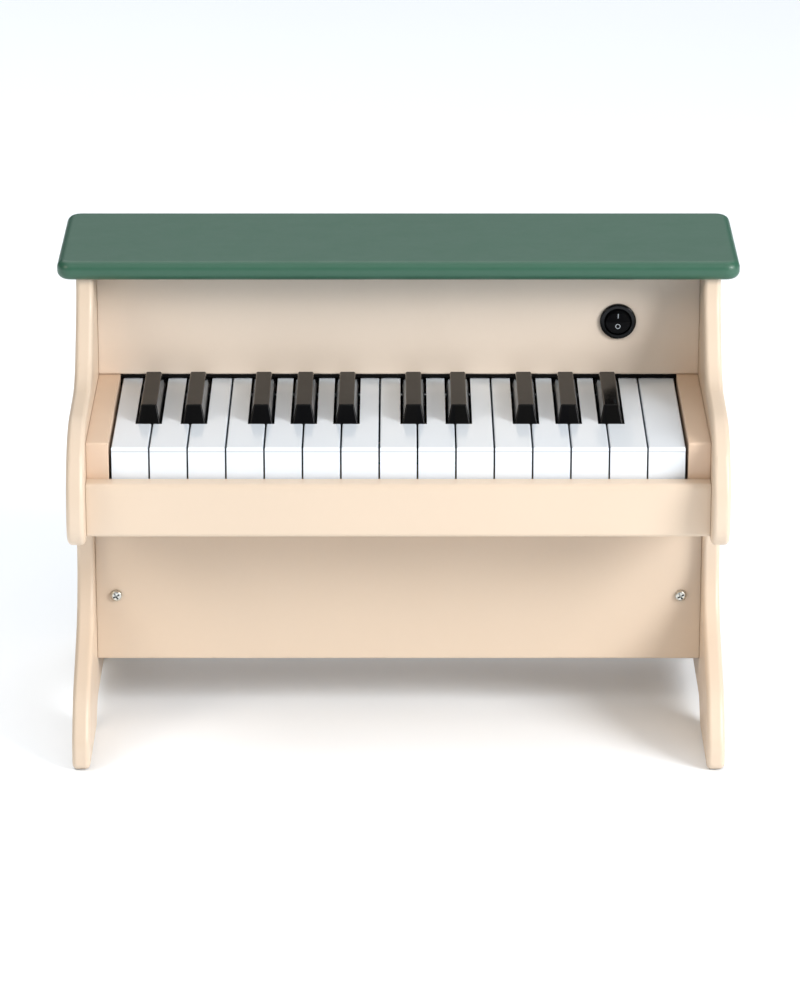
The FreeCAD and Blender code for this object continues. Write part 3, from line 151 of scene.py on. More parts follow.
class PIANO_PG_keys(PropertyGroup):
    """Keys and what they move on."""
    white: colour("White", "Moulded plastic of the white keys", (0.775, 0.835, 0.905))
    white_warm: colour("Warm white", "Warmest tone of the white keys", (0.79, 0.835, 0.885))
    black: colour("Black", "Moulded plastic of the black keys", (0.0035, 0.0035, 0.004))
    black_warm: colour("Warm black", "Warmest tone of the black keys", (0.005, 0.0048, 0.0045))
    white_gloss: share("White roughness", "Mean roughness of the white keys", 0.16)
    black_gloss: share("Black roughness", "Mean roughness of the black keys", 0.15)
    lip: length("Lip", "Height of the lip along a white key's front edge", 2.6 * MM)
    felt: colour("Felt", "Wool of the key stops", (0.19, 0.012, 0.016))
    # Painted shadow in part: this felt is made near-black so that it also stands in for the shadow
    # under the upper panel's edge.
    shadow_dark_felt: colour("Dark felt", "Wool under the upper panel", (0.004, 0.0038, 0.0038))
    felt_inset: length("Felt inset", "From the upper panel's face to its felt", 1.0 * MM)
    felt_clearance: length("Felt clearance", "From the white keys to the panel's felt", 0.5 * MM)
    felt_thickness: length("Felt thickness", "Thickness of the upper panel's felt", 1.6 * MM)
    rubber: colour("Rubber", "Silicone of the contact strip", (0.075, 0.08, 0.09))
    comb: colour("Comb", "Moulded comb that carries the axle", (0.04, 0.04, 0.045))


class PIANO_PG_switch(PropertyGroup):
    """Round rocker switch and its marks."""
    plastic: colour("Plastic", "Moulding of the housing and rocker", (0.0035, 0.0035, 0.0042))
    mark: colour("Mark", "Print of the I and O", (0.62, 0.68, 0.74))
    face_depth: length("Face depth", "From the pivot to the fold of the rocker's face", 3.2 * MM)
    face_lean: angle("Face lean", "Lean of each half of the rocker's face", 10)
    bar_height: length("Bar height", "Height of the I", 3.7 * MM)
    bar_width: length("Bar width", "Width of the I", 0.5 * MM)
    stroke: length("Stroke", "Width of the ring's line", 0.42 * MM)
    ring_size: length("Ring size", "Diameter of the O", 3.25 * MM)
    bar_lift: length("Bar lift", "From the fold to the middle of the I", 5.2 * MM)
    ring_drop: length("Ring drop", "From the fold to the middle of the O", 2.6 * MM)
    print_height: length("Print height", "How far the print stands on the plastic", 0.05 * MM)


class PIANO_PG_works(PropertyGroup):
    """Metals and the electric works."""
    zinc: colour("Zinc", "Plating of the screws", (0.66, 0.66, 0.63))
    zinc_cloud: colour("Zinc cloud", "Yellowish clouds in the plating", (0.62, 0.60, 0.50))
    steel: colour("Steel", "Drawn axle rod", (0.56, 0.57, 0.58))
    brass: colour("Brass", "Switch terminals", (0.72, 0.48, 0.17))
    mask: colour("Solder mask", "Coating of the circuit boards", (0.012, 0.085, 0.03))
    tin: colour("Tin", "Tinned pads of the circuit boards", (0.55, 0.55, 0.53))
    lacquer: colour("Lacquer", "Speaker basket", (0.022, 0.022, 0.024))
    paper: colour("Paper", "Speaker cone", (0.035, 0.034, 0.033))
    ferrite: colour("Ferrite", "Speaker magnet", (0.045, 0.045, 0.05))
    case: colour("Battery case", "Battery box and cover", (0.68, 0.56, 0.435))
    wrap: colour("Cell wrap", "Plain wrap of the cells", (0.015, 0.02, 0.045))
    cap: colour("Cell cap", "Band round the end of the cells", (0.60, 0.30, 0.12))


class PIANO_PG_stage(PropertyGroup):
    """Floor, light and camera."""
    floor: colour("Floor", "Pale floor", (0.88, 0.92, 0.96))
    camera_side: FloatProperty(name="Camera side", description="Camera's place along X",
                               default=0.001, unit="LENGTH")
    camera_back: FloatProperty(name="Camera back", description="Camera's place along Y",
                               default=-2.754, unit="LENGTH")
    camera_height: length("Camera height", "Camera's height over the floor", 1.139)
    camera_pitch: angle("Camera pitch", "How far the camera looks down", 20)
    lens: FloatProperty(name="Lens", description="Focal length in millimetres", default=165.2,
                        min=1, unit="CAMERA")
    key_power: power("Key light", "Power of the low light from the right", 104)
    key_bearing: angle("Key bearing", "Key light's turn to the right of the front", 55)
    key_height: angle("Key height", "Key light's height over the horizon", 25)
    key_distance: length("Key distance", "From the part to the key light", 3.3)
    key_size: length("Key size", "Diameter of the key light", 1.55)
    top_strength: strength("Top light", "Strength of the broad light overhead", 1.15)
    fill_strength: strength("Fill light", "Strength of the light from the left", 0.78)
    fill_tint: colour("Fill tint", "Colour of the light from the left", (1.0, 0.88, 0.74))
    back_strength: strength("Back light", "Strength of the light behind", 0.9)
    floor_power: power("Floor light", "Power of the light over the left floor", 28)
    sky_tint: colour("Sky tint", "Colour of the even surrounding light", (0.7, 0.84, 1.0))
    sky: FloatProperty(name="Sky", description="Strength of the even surrounding light",
                       default=0.11, min=0)


# ---- Finishes ----

NOISE_SPAN = (0.3, 0.7)  # most values of a noise lie between these
EDGE_TURN = (0.80, 0.995)  # cosine of the softened normal's turn, at an edge and on an open face
OPEN_SHARE = (0.25, 0.9)  # share of open sky, in a deep corner and on an open face
CHIP_TONES = (
    (0.0, (0.014, 0.014, 0.016)), (0.45, (0.02, 0.02, 0.024)),
    (0.62, (0.03, 0.05, 0.11)), (0.82, (0.32, 0.20, 0.09)),
)
SLEEVE_TONES = (
    (0.0, (0.36, 0.012, 0.012)), (0.26, (0.015, 0.015, 0.016)),
    (0.50, (0.62, 0.60, 0.55)), (0.75, (0.02, 0.06, 0.28)),
)


class Finish:
    """A material being mixed: its node tree, its shader and the calls that finishes share."""

    def __init__(self, name, **constants):
        self.material = bpy.data.materials.new(name)
        self.material.use_nodes = True
        self.tree = self.material.node_tree
        self.shader = self.tree.nodes["Principled BSDF"]
        self.put(self.shader, {key.replace("_", " "): value for key, value in constants.items()})
        self.point = self.node("ShaderNodeTexCoord").outputs["Object"]

    def put(self, target, inputs):
        """Links sockets, and sets plain numbers and colours."""
        for key, value in inputs.items():
            socket = target.inputs[key]
            if isinstance(value, bpy.types.NodeSocket):
                self.tree.links.new(value, socket)
            elif socket.type == "RGBA":
                socket.default_value = (*value[:3], 1)
            else:
                socket.default_value = value

    def node(self, kind, inputs=None, **settings):
        """A new node with its settings and inputs."""
        made = self.tree.nodes.new(kind)
        for key, value in settings.items():
            setattr(made, key, value)
        self.put(made, inputs or {})
        return made

    def stretched(self, scale, turn=(0, 0, 0), origin=(0, 0, 0)):
        """The surface point measured from an origin, turned, and scaled along each axis."""
        moved = self.node("ShaderNodeVectorMath", {0: self.point, 1: origin}, operation="SUBTRACT")
        return self.node("ShaderNodeMapping", {"Vector": moved.outputs[0], "Rotation": turn,
                                               "Scale": scale}).outputs[0]

    def along(self, axis, vector=None):
        """The X, Y or Z part of a vector, or else of the surface point."""
        return self.node("ShaderNodeSeparateXYZ", {0: vector or self.point}).outputs[axis]

    def noise(self, scale, detail=3.0, point=None, rough=0.5):
        """Cloudy noise with a scale of so many to the metre."""
        inputs = {"Vector": point or self.point, "Scale": scale,
                  "Detail": detail, "Roughness": rough}
        return self.node("ShaderNodeTexNoise", inputs).outputs["Fac"]

    def spread(self, value, low, high, start=0.0, end=1.0):
        """Maps start..end to low..high, and stays within them."""
        inputs = {"Value": value, "From Min": start, "From Max": end, "To Min": low, "To Max": high}
        return self.node("ShaderNodeMapRange", inputs, clamp=True).outputs["Result"]

    def math(self, operation, first, second=0.0):
        """One sum on two numbers."""
        return self.node("ShaderNodeMath", {0: first, 1: second}, operation=operation).outputs[0]

    def mix(self, amount, first, second):
        """The first colour, turned into the second by an amount."""
        made = self.node("ShaderNodeMix", data_type="RGBA", blend_type="MIX")
        self.put(made, {0: amount, 6: first, 7: second})
        return made.outputs[2]

    def over(self, tone, mask, amount, tint):
        """Lays a tint over a tone where the mask is 1, to the amount given."""
        return self.mix(self.math("MULTIPLY", mask, amount), tone, tint)

    def ramp(self, value, *stops, kind="LINEAR"):
        """A colour ramp through (place, colour) stops."""
        made = self.node("ShaderNodeValToRGB", {"Fac": value})
        made.color_ramp.interpolation = kind
        points = made.color_ramp.elements
        while len(points) < len(stops):
            points.new(1)
        for point, (place, tint) in zip(points, stops):
            point.position, point.color = place, (*tint[:3], 1)
        return made.outputs["Color"]

    def edges(self, width):
        """1 along convex and concave edges within width, and 0 on open faces."""
        soft = self.node("ShaderNodeBevel", {"Radius": width}, samples=6).outputs["Normal"]
        plain = self.node("ShaderNodeNewGeometry").outputs["Normal"]
        facing = self.node("ShaderNodeVectorMath", {0: soft, 1: plain}, operation="DOT_PRODUCT")
        return self.spread(facing.outputs["Value"], 1, 0, *EDGE_TURN)

    def corners(self, reach):
        """1 deep in a joint or recess, and 0 in the open: the mask for painted shade in corners."""
        made = self.node("ShaderNodeAmbientOcclusion", {"Distance": reach}, samples=4)
        return self.spread(made.outputs["AO"], 1, 0, *OPEN_SHARE)

    def each(self):
        """A number of its own for each separate solid of the piece."""
        return self.node("ShaderNodeNewGeometry").outputs["Random Per Island"]

    def bump(self, height, strength, depth, under=None):
        """A normal tilted by a height, on top of another normal if one is given."""
        inputs = {"Height": height, "Strength": strength, "Distance": depth}
        if under is not None:
            inputs["Normal"] = under
        return self.node("ShaderNodeBump", inputs).outputs["Normal"]

    def done(self, tone, roughness, normal, **more):
        """Joins the mixed colour, roughness and normal to the shader."""
        linked = {"Base Color": tone, "Roughness": roughness, "Normal": normal}
        linked.update({key.replace("_", " "): value for key, value in more.items()})
        self.put(self.shader, linked)
        return self.material


def shade(tint, amount):
    """A colour made lighter or darker by a factor."""
    return tuple(min(1.0, part * amount) for part in tint)


def sprayed_paint(name, tint, rubbed, cabinet):
    """Satin paint sprayed on fibreboard: slow drift of tone, fine dimples, edges lightened partly
    by rubbing and partly as painted highlight, and painted shade in joints.
    """
    finish = Finish(name, IOR=1.5)
    drift = finish.noise(6, detail=2)
    film = finish.noise(260, detail=4)
    tone = finish.ramp(drift, (0.3, shade(tint, 0.975)), (0.7, shade(tint, 1.02)))
    tone = finish.mix(finish.spread(film, 0, 0.10, 0.35, 0.75), tone, shade(tint, 1.05))
    # Lighter edges: partly rubbed paint, partly painted highlight along the rounded edges; rubbed
    # is the colour and cabinet.rub the band's width.
    edge = finish.edges(cabinet.rub)
    scuff = finish.spread(finish.noise(140, detail=5), 0.15, 0.75, 0.35, 0.65)
    tone = finish.over(tone, finish.math("MULTIPLY", edge, scuff), 0.35, rubbed)
    # Painted shade: the paint darkens deep in joints and recesses, where shade falls.
    tone = finish.over(tone, finish.corners(2.5 * MM), 0.35, shade(tint, 0.62))
    gloss = finish.spread(finish.noise(35, detail=4), cabinet.gloss - 0.05, cabinet.gloss + 0.06,
                          *NOISE_SPAN)
    gloss = finish.math("SUBTRACT", gloss, finish.math("MULTIPLY", edge, 0.08))
    swell = finish.bump(finish.noise(28, detail=1), 0.05, 1.2 * MM)
    dimples = finish.bump(finish.noise(1 / cabinet.peel, detail=2), 0.10, 0.12 * MM, swell)
    return finish.done(tone, gloss, dimples)


def bare_timber(name, cabinet, along):
    """Sanded pine: grain lines along the piece, fine fibres and open pores."""
    finish = Finish(name, IOR=1.45)
    wide, fine = [70.0] * 3, [900.0] * 3
    wide[along], fine[along] = 4.0, 30.0
    warp = finish.noise(1, detail=3, point=finish.stretched(wide))
    lines = finish.node("ShaderNodeTexWave", {"Vector": finish.stretched(wide), "Scale": 0.55,
                        "Distortion": 7.0, "Detail": 3.0, "Detail Scale": 0.8}, wave_profile="SAW")
    grain = finish.math("MULTIPLY", lines.outputs["Fac"],
                        finish.spread(warp, 0.4, 1.0, *NOISE_SPAN))
    tone = finish.ramp(grain, (0.15, cabinet.timber), (0.95, cabinet.timber_grain))
    fibre = finish.noise(1, detail=4, point=finish.stretched(fine), rough=0.65)
    pores = finish.spread(fibre, 0, 0.35, 0.5, 0.75)
    tone = finish.mix(pores, tone, shade(cabinet.timber_grain, 0.8))
    tone = finish.over(tone, finish.edges(0.8 * MM), 0.3, shade(cabinet.timber, 1.2))
    rough = finish.spread(fibre, 0.55, 0.78, *NOISE_SPAN)
    normal = finish.bump(fibre, 0.25, 0.15 * MM, finish.bump(grain, 0.15, 0.2 * MM))
    return finish.done(tone, rough, normal)


def painted_lip_shadow(finish, lip):
    """1 on the front face just under a key's lip, and 0 elsewhere: the mask for a painted shadow
    line.
    """
    depth = finish.math("SUBTRACT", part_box(WHITE_KEYS[0])[1].z - lip, finish.along("Z"))
    line = finish.math("MULTIPLY", finish.spread(depth, 1, 0, 0.35 * MM, 0.75 * MM),
                       finish.math("GREATER_THAN", depth, 0))
    normal = finish.node("ShaderNodeNewGeometry").outputs["True Normal"]
    facing = finish.along("Y", normal)
    return finish.math("MULTIPLY", line, finish.math("LESS_THAN", facing, -0.9))


def key_plastic(name, tint, gloss, warm, lip, **constants):
    """Glossy moulded key: a tone of its own, hair scratches, finger haze, polished edges, and
    painted shade in its corners and under its lip.
    """
    finish = Finish(name, **constants)
    across = finish.along("X")
    place = finish.math("FLOOR", finish.math("ADD", finish.math("DIVIDE", across, KEY_PITCH), 0.5))
    own = finish.node("ShaderNodeTexWhiteNoise", {"W": place}, noise_dimensions="1D")
    tone = finish.ramp(own.outputs["Value"], (0.0, shade(tint, 0.985)), (1.0, warm))
    haze = finish.noise(45, detail=4)
    tone = finish.mix(finish.spread(haze, 0, 0.05, 0.45, 0.75), tone, shade(warm, 0.9))
    # Painted shade: the plastic darkens in concave corners, deepest under the lip.
    tone = finish.over(tone, finish.corners(0.9 * MM), 0.9, shade(tint, 0.3))
    # Painted shadow: a dark line on the front face just under the lip.
    tone = finish.over(tone, painted_lip_shadow(finish, lip), 0.6, shade(tint, 0.3))
    hair = finish.noise(1, detail=3, point=finish.stretched((1500, 28, 1500), (0.05, 0.02, 0.12)))
    hair = finish.spread(hair, 0, 1, 0.66, 0.74)
    rough = finish.spread(haze, gloss - 0.03, gloss + 0.06, 0.35, 0.7)
    rough = finish.math("ADD", rough, finish.math("MULTIPLY", hair, 0.06))
    rough = finish.math("SUBTRACT", rough, finish.math("MULTIPLY", finish.edges(0.6 * MM), 0.04))
    swell = finish.bump(finish.noise(60, detail=1), 0.03, 0.6 * MM)
    return finish.done(tone, rough, finish.bump(hair, 0.03, 0.03 * MM, swell))


def moulded_plastic(name, tint, rough, grain=0.35 * MM, **constants):
    """Satin moulded plastic: spark-eroded grain, flow shading and polished edges."""
    finish = Finish(name, **{"IOR": 1.5, **constants})
    flow = finish.noise(90, detail=3)
    spark = finish.noise(1 / grain, detail=3, rough=0.6)
    tone = finish.ramp(flow, (0.3, shade(tint, 0.97)), (0.7, shade(tint, 1.03)))
    edge = finish.edges(0.5 * MM)
    tone = finish.over(tone, edge, 0.25, shade(tint, 1.8))
    rough = finish.spread(spark, *rough, *NOISE_SPAN)
    rough = finish.math("SUBTRACT", rough, finish.math("MULTIPLY", edge, 0.08))
    return finish.done(tone, rough, finish.bump(spark, 0.12, 0.05 * MM))


def plated_metal(name, tint, tinted, rough, along=None):
    """Bright metal: plating clouds, drawing or tumbling marks, painted shade in recesses and worn
    edges.
    """
    finish = Finish(name, Metallic=1.0)
    marks = [1800.0] * 3
    if along is not None:
        marks[along] = 25.0
    cloud = finish.noise(420, detail=3)
    lines = finish.noise(1, detail=4, point=finish.stretched(marks), rough=0.6)
    tone = finish.ramp(cloud, (0.32, shade(tint, 0.86)), (0.5, tint), (0.7, tinted))
    tone = finish.over(tone, finish.each(), 0.15, tinted)
    tone = finish.over(tone, finish.edges(0.3 * MM), 0.4, shade(tint, 1.25))
    # Painted shade: the metal darkens deep in recesses, where shade falls.
    tone = finish.over(tone, finish.corners(1.6 * MM), 0.8, shade(tint, 0.2))
    rough = finish.spread(lines, *rough, *NOISE_SPAN)
    return finish.done(tone, rough, finish.bump(lines, 0.12, 0.04 * MM))


def pressed_felt(name, tint, sheen):
    """Pressed wool felt: matted fibres, pale flecks and a soft bloom."""
    finish = Finish(name, Sheen_Weight=sheen, Sheen_Roughness=0.45, Specular_IOR_Level=0.1)
    matted = finish.noise(900, detail=5, rough=0.7)
    combed = finish.stretched((500, 2600, 2600), (0, 0, 0.6))
    fibre = finish.noise(1, detail=4, point=combed, rough=0.7)
    tone = finish.ramp(matted, (0.3, shade(tint, 0.6)), (0.55, tint), (0.8, shade(tint, 1.7)))
    tone = finish.mix(finish.spread(fibre, 0, 0.4, 0.6, 0.75), tone, shade(tint, 2.4))
    rough = finish.spread(matted, 0.85, 1.0, *NOISE_SPAN)
    normal = finish.bump(matted, 0.7, 0.5 * MM, finish.bump(fibre, 0.4, 0.2 * MM))
    return finish.done(tone, rough, normal)


def silicone_strip(name, tint):
    """Matte silicone: dusty bloom, fine mould texture and painted shade in corners."""
    finish = Finish(name, IOR=1.43, Sheen_Weight=0.15, Sheen_Roughness=0.5)
    bloom = finish.noise(160, detail=4)
    grain = finish.noise(2200, detail=2)
    tone = finish.ramp(bloom, (0.3, shade(tint, 0.85)), (0.75, shade(tint, 1.35)))
    # Painted shade: the silicone darkens in corners and recesses.
    tone = finish.over(tone, finish.corners(2 * MM), 0.4, shade(tint, 0.5))
    rough = finish.spread(bloom, 0.5, 0.72, *NOISE_SPAN)
    return finish.done(tone, rough, finish.bump(grain, 0.15, 0.06 * MM))


def circuit_board(name, works):
    """Coated board: copper runs under the mask in two directions, tinned pads and weave."""
    finish = Finish(name, IOR=1.52, Coat_Weight=0.4, Coat_Roughness=0.12)
    runs = {"Scale": 1.0, "Mortar Size": 0.09, "Mortar Smooth": 0.1, "Brick Width": 3.0,
            "Row Height": 0.9, "Color1": (0, 0, 0), "Color2": (0, 0, 0), "Mortar": (1, 1, 1)}
    along = finish.node("ShaderNodeTexBrick", {**runs, "Vector": finish.stretched((420, 420, 420))})
    across = finish.node("ShaderNodeTexBrick", {**runs, "Vector": finish.stretched(
        (310, 310, 310), (0, 0, math.radians(90)))})
    region = finish.spread(finish.noise(70, detail=1), 0, 1, 0.48, 0.52)
    copper = finish.mix(region, along.outputs["Color"], across.outputs["Color"])
    dots = finish.node("ShaderNodeTexVoronoi", {"Vector": finish.point, "Scale": 230.0})
    pads = finish.spread(dots.outputs["Distance"], 1, 0, 0.16, 0.20)
    weave = finish.noise(1, detail=2, point=finish.stretched((1700, 1700, 400)))
    tone = finish.mix(finish.spread(weave, 0, 0.3, 0.4, 0.7), works.mask, shade(works.mask, 0.7))
    tone = finish.mix(copper, tone, shade(works.mask, 2.1))
    tone = finish.mix(pads, tone, works.tin)
    rough = finish.spread(weave, 0.28, 0.45, *NOISE_SPAN)
    raised = finish.bump(copper, 0.25, 0.05 * MM, finish.bump(pads, 0.4, 0.08 * MM))
    return finish.done(tone, rough, raised, Metallic=pads)


def chip_parts(name):
    """Parts on a board: dark mouldings, tan and blue coatings, one tone for each part."""
    finish = Finish(name, IOR=1.5)
    tone = finish.ramp(finish.each(), *CHIP_TONES)
    grain = finish.noise(1800, detail=3)
    tone = finish.mix(finish.spread(grain, 0, 0.3, 0.5, 0.75), tone, (0.09, 0.09, 0.10))
    tone = finish.over(tone, finish.edges(0.4 * MM), 0.5, (0.12, 0.12, 0.13))
    rough = finish.spread(grain, 0.3, 0.6, *NOISE_SPAN)
    return finish.done(tone, rough, finish.bump(grain, 0.2, 0.05 * MM))


def speaker_paper(name, tint):
    """Pressed paper cone: pulp fibres, and rings pressed round the speaker's middle."""
    low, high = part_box("speaker_cone")
    finish = Finish(name, Specular_IOR_Level=0.25, Sheen_Weight=0.2, Sheen_Roughness=0.5)
    pulp = finish.noise(1100, detail=5, rough=0.7)
    centred = finish.stretched((1, 1, 1), origin=(low + high) / 2)
    rings = finish.node("ShaderNodeTexWave", {"Vector": centred, "Scale": 95.0, "Distortion": 0.3},
                        wave_type="RINGS", rings_direction="Y")
    tone = finish.ramp(pulp, (0.3, shade(tint, 0.6)), (0.55, tint), (0.8, shade(tint, 2.2)))
    rough = finish.spread(pulp, 0.7, 0.95, *NOISE_SPAN)
    normal = finish.bump(pulp, 0.4, 0.12 * MM, finish.bump(rings.outputs["Fac"], 0.3, 0.3 * MM))
    return finish.done(tone, rough, normal)


def ferrite(name, tint):
    """Sintered magnet: dark grains, ground faces and chipped edges."""
    finish = Finish(name, IOR=1.9)
    cells = finish.node("ShaderNodeTexVoronoi", {"Vector": finish.point, "Scale": 1500.0})
    grains = cells.outputs["Distance"]
    cloud = finish.noise(200, detail=4)
    tone = finish.ramp(cloud, (0.3, shade(tint, 0.7)), (0.7, shade(tint, 1.4)))
    chips = finish.math("MULTIPLY", finish.edges(0.7 * MM), finish.spread(cloud, 0, 0.8, 0.45, 0.6))
    tone = finish.mix(chips, tone, shade(tint, 3))
    rough = finish.spread(grains, 0.42, 0.7, 0.1, 0.6)
    return finish.done(tone, rough, finish.bump(grains, 0.2, 0.06 * MM))


def cell_wrap(name, works):
    """Plain shrink wrap on a cell: a coloured end band, drawn wrinkles and bare metal ends."""
    low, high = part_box("battery_cells")
    finish = Finish(name, IOR=1.5, Coat_Weight=0.3, Coat_Roughness=0.1)
    run = finish.spread(finish.along("X"), 0, 1, low.x, high.x)
    band = 0.70
    tone = finish.ramp(run, (0.0, works.wrap), (band, works.wrap), (band + 0.01, works.cap),
                       (1.0, works.cap))
    facing = finish.along("X", finish.node("ShaderNodeNewGeometry").outputs["Normal"])
    end = finish.spread(finish.math("ABSOLUTE", facing), 0, 1, 0.85, 0.95)
    wrinkle = finish.noise(1, detail=4, point=finish.stretched((180, 900, 900)))
    tone = finish.mix(finish.spread(wrinkle, 0, 0.2, 0.5, 0.75), tone, shade(works.wrap, 3))
    tone = finish.mix(end, tone, works.zinc)
    rough = finish.spread(wrinkle, 0.22, 0.42, *NOISE_SPAN)
    return finish.done(tone, rough, finish.bump(wrinkle, 0.2, 0.08 * MM), Metallic=end)


def wire_sleeves(name):
    """Flexible sleeves: one colour to a lead, drawn lines and a soft bloom."""
    finish = Finish(name, IOR=1.48, Coat_Weight=0.1, Coat_Roughness=0.3)
    tone = finish.ramp(finish.each(), *SLEEVE_TONES, kind="CONSTANT")
    bloom = finish.noise(300, detail=4)
    tone = finish.mix(finish.spread(bloom, 0, 0.15, 0.45, 0.75), tone, (0.5, 0.48, 0.46))
    rough = finish.spread(bloom, 0.38, 0.55, *NOISE_SPAN)
    return finish.done(tone, rough, finish.bump(finish.noise(1600, detail=2), 0.1, 0.04 * MM))


def printed_mark(name, tint):
    """Pad-printed ink: a slightly broken film that is thin at its edge."""
    finish = Finish(name, IOR=1.48)
    film = finish.noise(3000, detail=4)
    tone = finish.ramp(film, (0.3, shade(tint, 0.82)), (0.65, shade(tint, 1.05)))
    tone = finish.over(tone, finish.edges(0.06 * MM), 0.2, shade(tint, 0.7))
    rough = finish.spread(film, 0.38, 0.58, *NOISE_SPAN)
    return finish.done(tone, rough, finish.bump(film, 0.2, 0.01 * MM))


def studio_floor(name, tint):
    """Pale matte floor with a faint, even grain."""
    finish = Finish(name, Specular_IOR_Level=0.2)
    drift = finish.noise(1.5, detail=3)
    tone = finish.ramp(drift, (0.3, shade(tint, 0.99)), (0.7, tint))
    rough = finish.spread(drift, 0.75, 0.85, *NOISE_SPAN)
    return finish.done(tone, rough, finish.bump(finish.noise(600, detail=2), 0.03, 0.2 * MM))


# ---- Pieces ----

def dress(names, material):
    """Gives CAD nodes a finish through their own material slots."""
    for name in names:
        for slot in frame["nodes"][name].material_slots:
            slot.material = material


def add_piece(name, shape, material, body):
    """Makes a shape into an object that rides on a body."""
    mesh = bpy.data.meshes.new(name)
    shape.to_mesh(mesh)
    shape.free()
    mesh.materials.append(material)
    piece = bpy.data.objects.new(name, mesh)
    bpy.context.scene.collection.objects.link(piece)
    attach(piece, body)
    return piece


def prism(outline, thickness):
    """A flat plate over a closed outline of (x, y) points, rising from z = 0."""
    shape = bmesh.new()
    foot = shape.faces.new([shape.verts.new((x, y, 0)) for x, y in outline])
    risen = bmesh.ops.extrude_face_region(shape, geom=[foot])
    top = [item for item in risen["geom"] if isinstance(item, bmesh.types.BMVert)]
    bmesh.ops.translate(shape, verts=top, vec=(0, 0, thickness))
    bmesh.ops.recalc_face_normals(shape, faces=shape.faces)
    return shape


def bar_outline(height, width, steps=8):
    """Upright bar with round ends."""
    radius, reach = width / 2, (height - width) / 2
    upper = [(radius * math.cos(turn), reach + radius * math.sin(turn))
             for turn in (math.pi * step / steps for step in range(steps + 1))]
    return upper + [(-x, -y) for x, y in upper]


def ring_shape(size, stroke, thickness, steps=56):
    """Flat ring with a softened section, rising from z = 0."""
    outer, inner, soft = size / 2, size / 2 - stroke, thickness / 2
    section = [(inner, 0), (inner, thickness - soft), (inner + soft, thickness),
               (outer - soft, thickness), (outer, thickness - soft), (outer, 0)]
    shape = bmesh.new()
    rows = []
    for step in range(steps):
        turn = 2 * math.pi * step / steps
        rows.append([shape.verts.new((radius * math.cos(turn), radius * math.sin(turn), z))
                     for radius, z in section])
    skin(shape, rows + rows[:1])
    bmesh.ops.recalc_face_normals(shape, faces=shape.faces)
    return shape


def skin(shape, rows):
    """Faces between rows of points that each go round a closed section."""
    for row, following in zip(rows, rows[1:]):
        for i in range(len(row)):
            j = (i + 1) % len(row)
            shape.faces.new((row[i], following[i], following[j], row[j]))


def face_frame(lean, middle):
    """Axes of a rocker face that leans forward: right, up along the face, and out of it."""
    right = Vector((1, 0, 0))
    up = Vector((0, -math.sin(lean), math.cos(lean)))
    out = right.cross(up)
    axes = Matrix((right, up, out)).transposed().to_4x4()
    return Matrix.Translation(middle) @ axes


def solids_of(node):
    """The box of each separate solid in a CAD node, from low to high corner."""
    shape = bmesh.new()
    shape.from_mesh(frame["nodes"][node].data)
    bmesh.ops.remove_doubles(shape, verts=shape.verts, dist=0.01 * MM)
    left, boxes = set(shape.verts), []
    while left:
        first = next(vert for vert in shape.verts if vert in left)
        found, edge = {first}, [first]
        while edge:
            for link in edge.pop().link_edges:
                for vert in link.verts:
                    if vert not in found:
                        found.add(vert)
                        edge.append(vert)
        left -= found
        places = [vert.co for vert in found]
        boxes.append((Vector([min(p[i] for p in places) for i in range(3)]),
                      Vector([max(p[i] for p in places) for i in range(3)])))
    shape.free()
    return sorted(boxes, key=lambda box: tuple(box[0]))


def soft_section(low, high, radius, steps=4):
    """A rounded rectangle of (y, z) points, from its upper rear corner round to its lower rear."""
    front, rear, foot, top = low.y + radius, high.y - radius, low.z + radius, high.z - radius
    points = []
    for side, (y, z) in enumerate(((rear, top), (front, top), (front, foot), (rear, foot))):
        for step in range(steps + 1):
            turn = math.radians(90) * (side + step / steps)
            points.append((y + radius * math.cos(turn), z + radius * math.sin(turn)))
    return points


def add_felt_strip(shape, low, high, steps=260):
    """One cut strip of felt in its box, with soft edges and a slightly uneven surface."""
    inset, radius, dent, dents_per_metre = 0.04 * MM, 0.55 * MM, 0.16 * MM, 210
    section = soft_section(low + Vector((inset,) * 3), high - Vector((inset,) * 3), radius)
    middle = (low + high) / 2
    rows = []
    for step in range(steps + 1):
        x = low.x + inset + (high.x - low.x - 2 * inset) * step / steps
        row = []
        for y, z in section:
            sunk = dent * (0.5 + 0.5 * noise.noise(Vector((x, y, z)) * dents_per_metre))
            inward = Vector((0, middle.y - y, middle.z - z)).normalized()
            row.append(shape.verts.new(Vector((x, y, z)) + sunk * inward))
        rows.append(row)
    skin(shape, rows)
    for row in (rows[0], rows[-1]):
        shape.faces.new(row)


class PIANO_OT_boards(Operator):
    """Paint the side boards, panels, rail and cheeks"""
    bl_idname = "toy_piano.boards"
    bl_label = "Boards"

    def execute(self, context):
        cabinet = context.scene.piano_cabinet
        for names, paint, tint in (
            (PAINTED_BOARDS, "cream_satin_paint", cabinet.cream),
            # Painted shade: a warmer copy of the cream stands in for the warm bounced shade on the
            # cheeks.
            (["left_key_cheek", "right_key_cheek"], "shaded_warm_cream_satin_paint", cabinet.shaded_warm_cream),
            # Painted light: a paler copy of the cream stands in for the extra light on the upper
            # panel.
            (["upper_front_panel"], "lit_pale_cream_satin_paint", cabinet.lit_pale_cream),
        ):
            # The boards' edges are lightened partly as rubbed paint and partly as painted
            # highlight.
            dress(names, sprayed_paint(paint, tint, cabinet.cream_rub_and_highlight, cabinet))
        return {"FINISHED"}


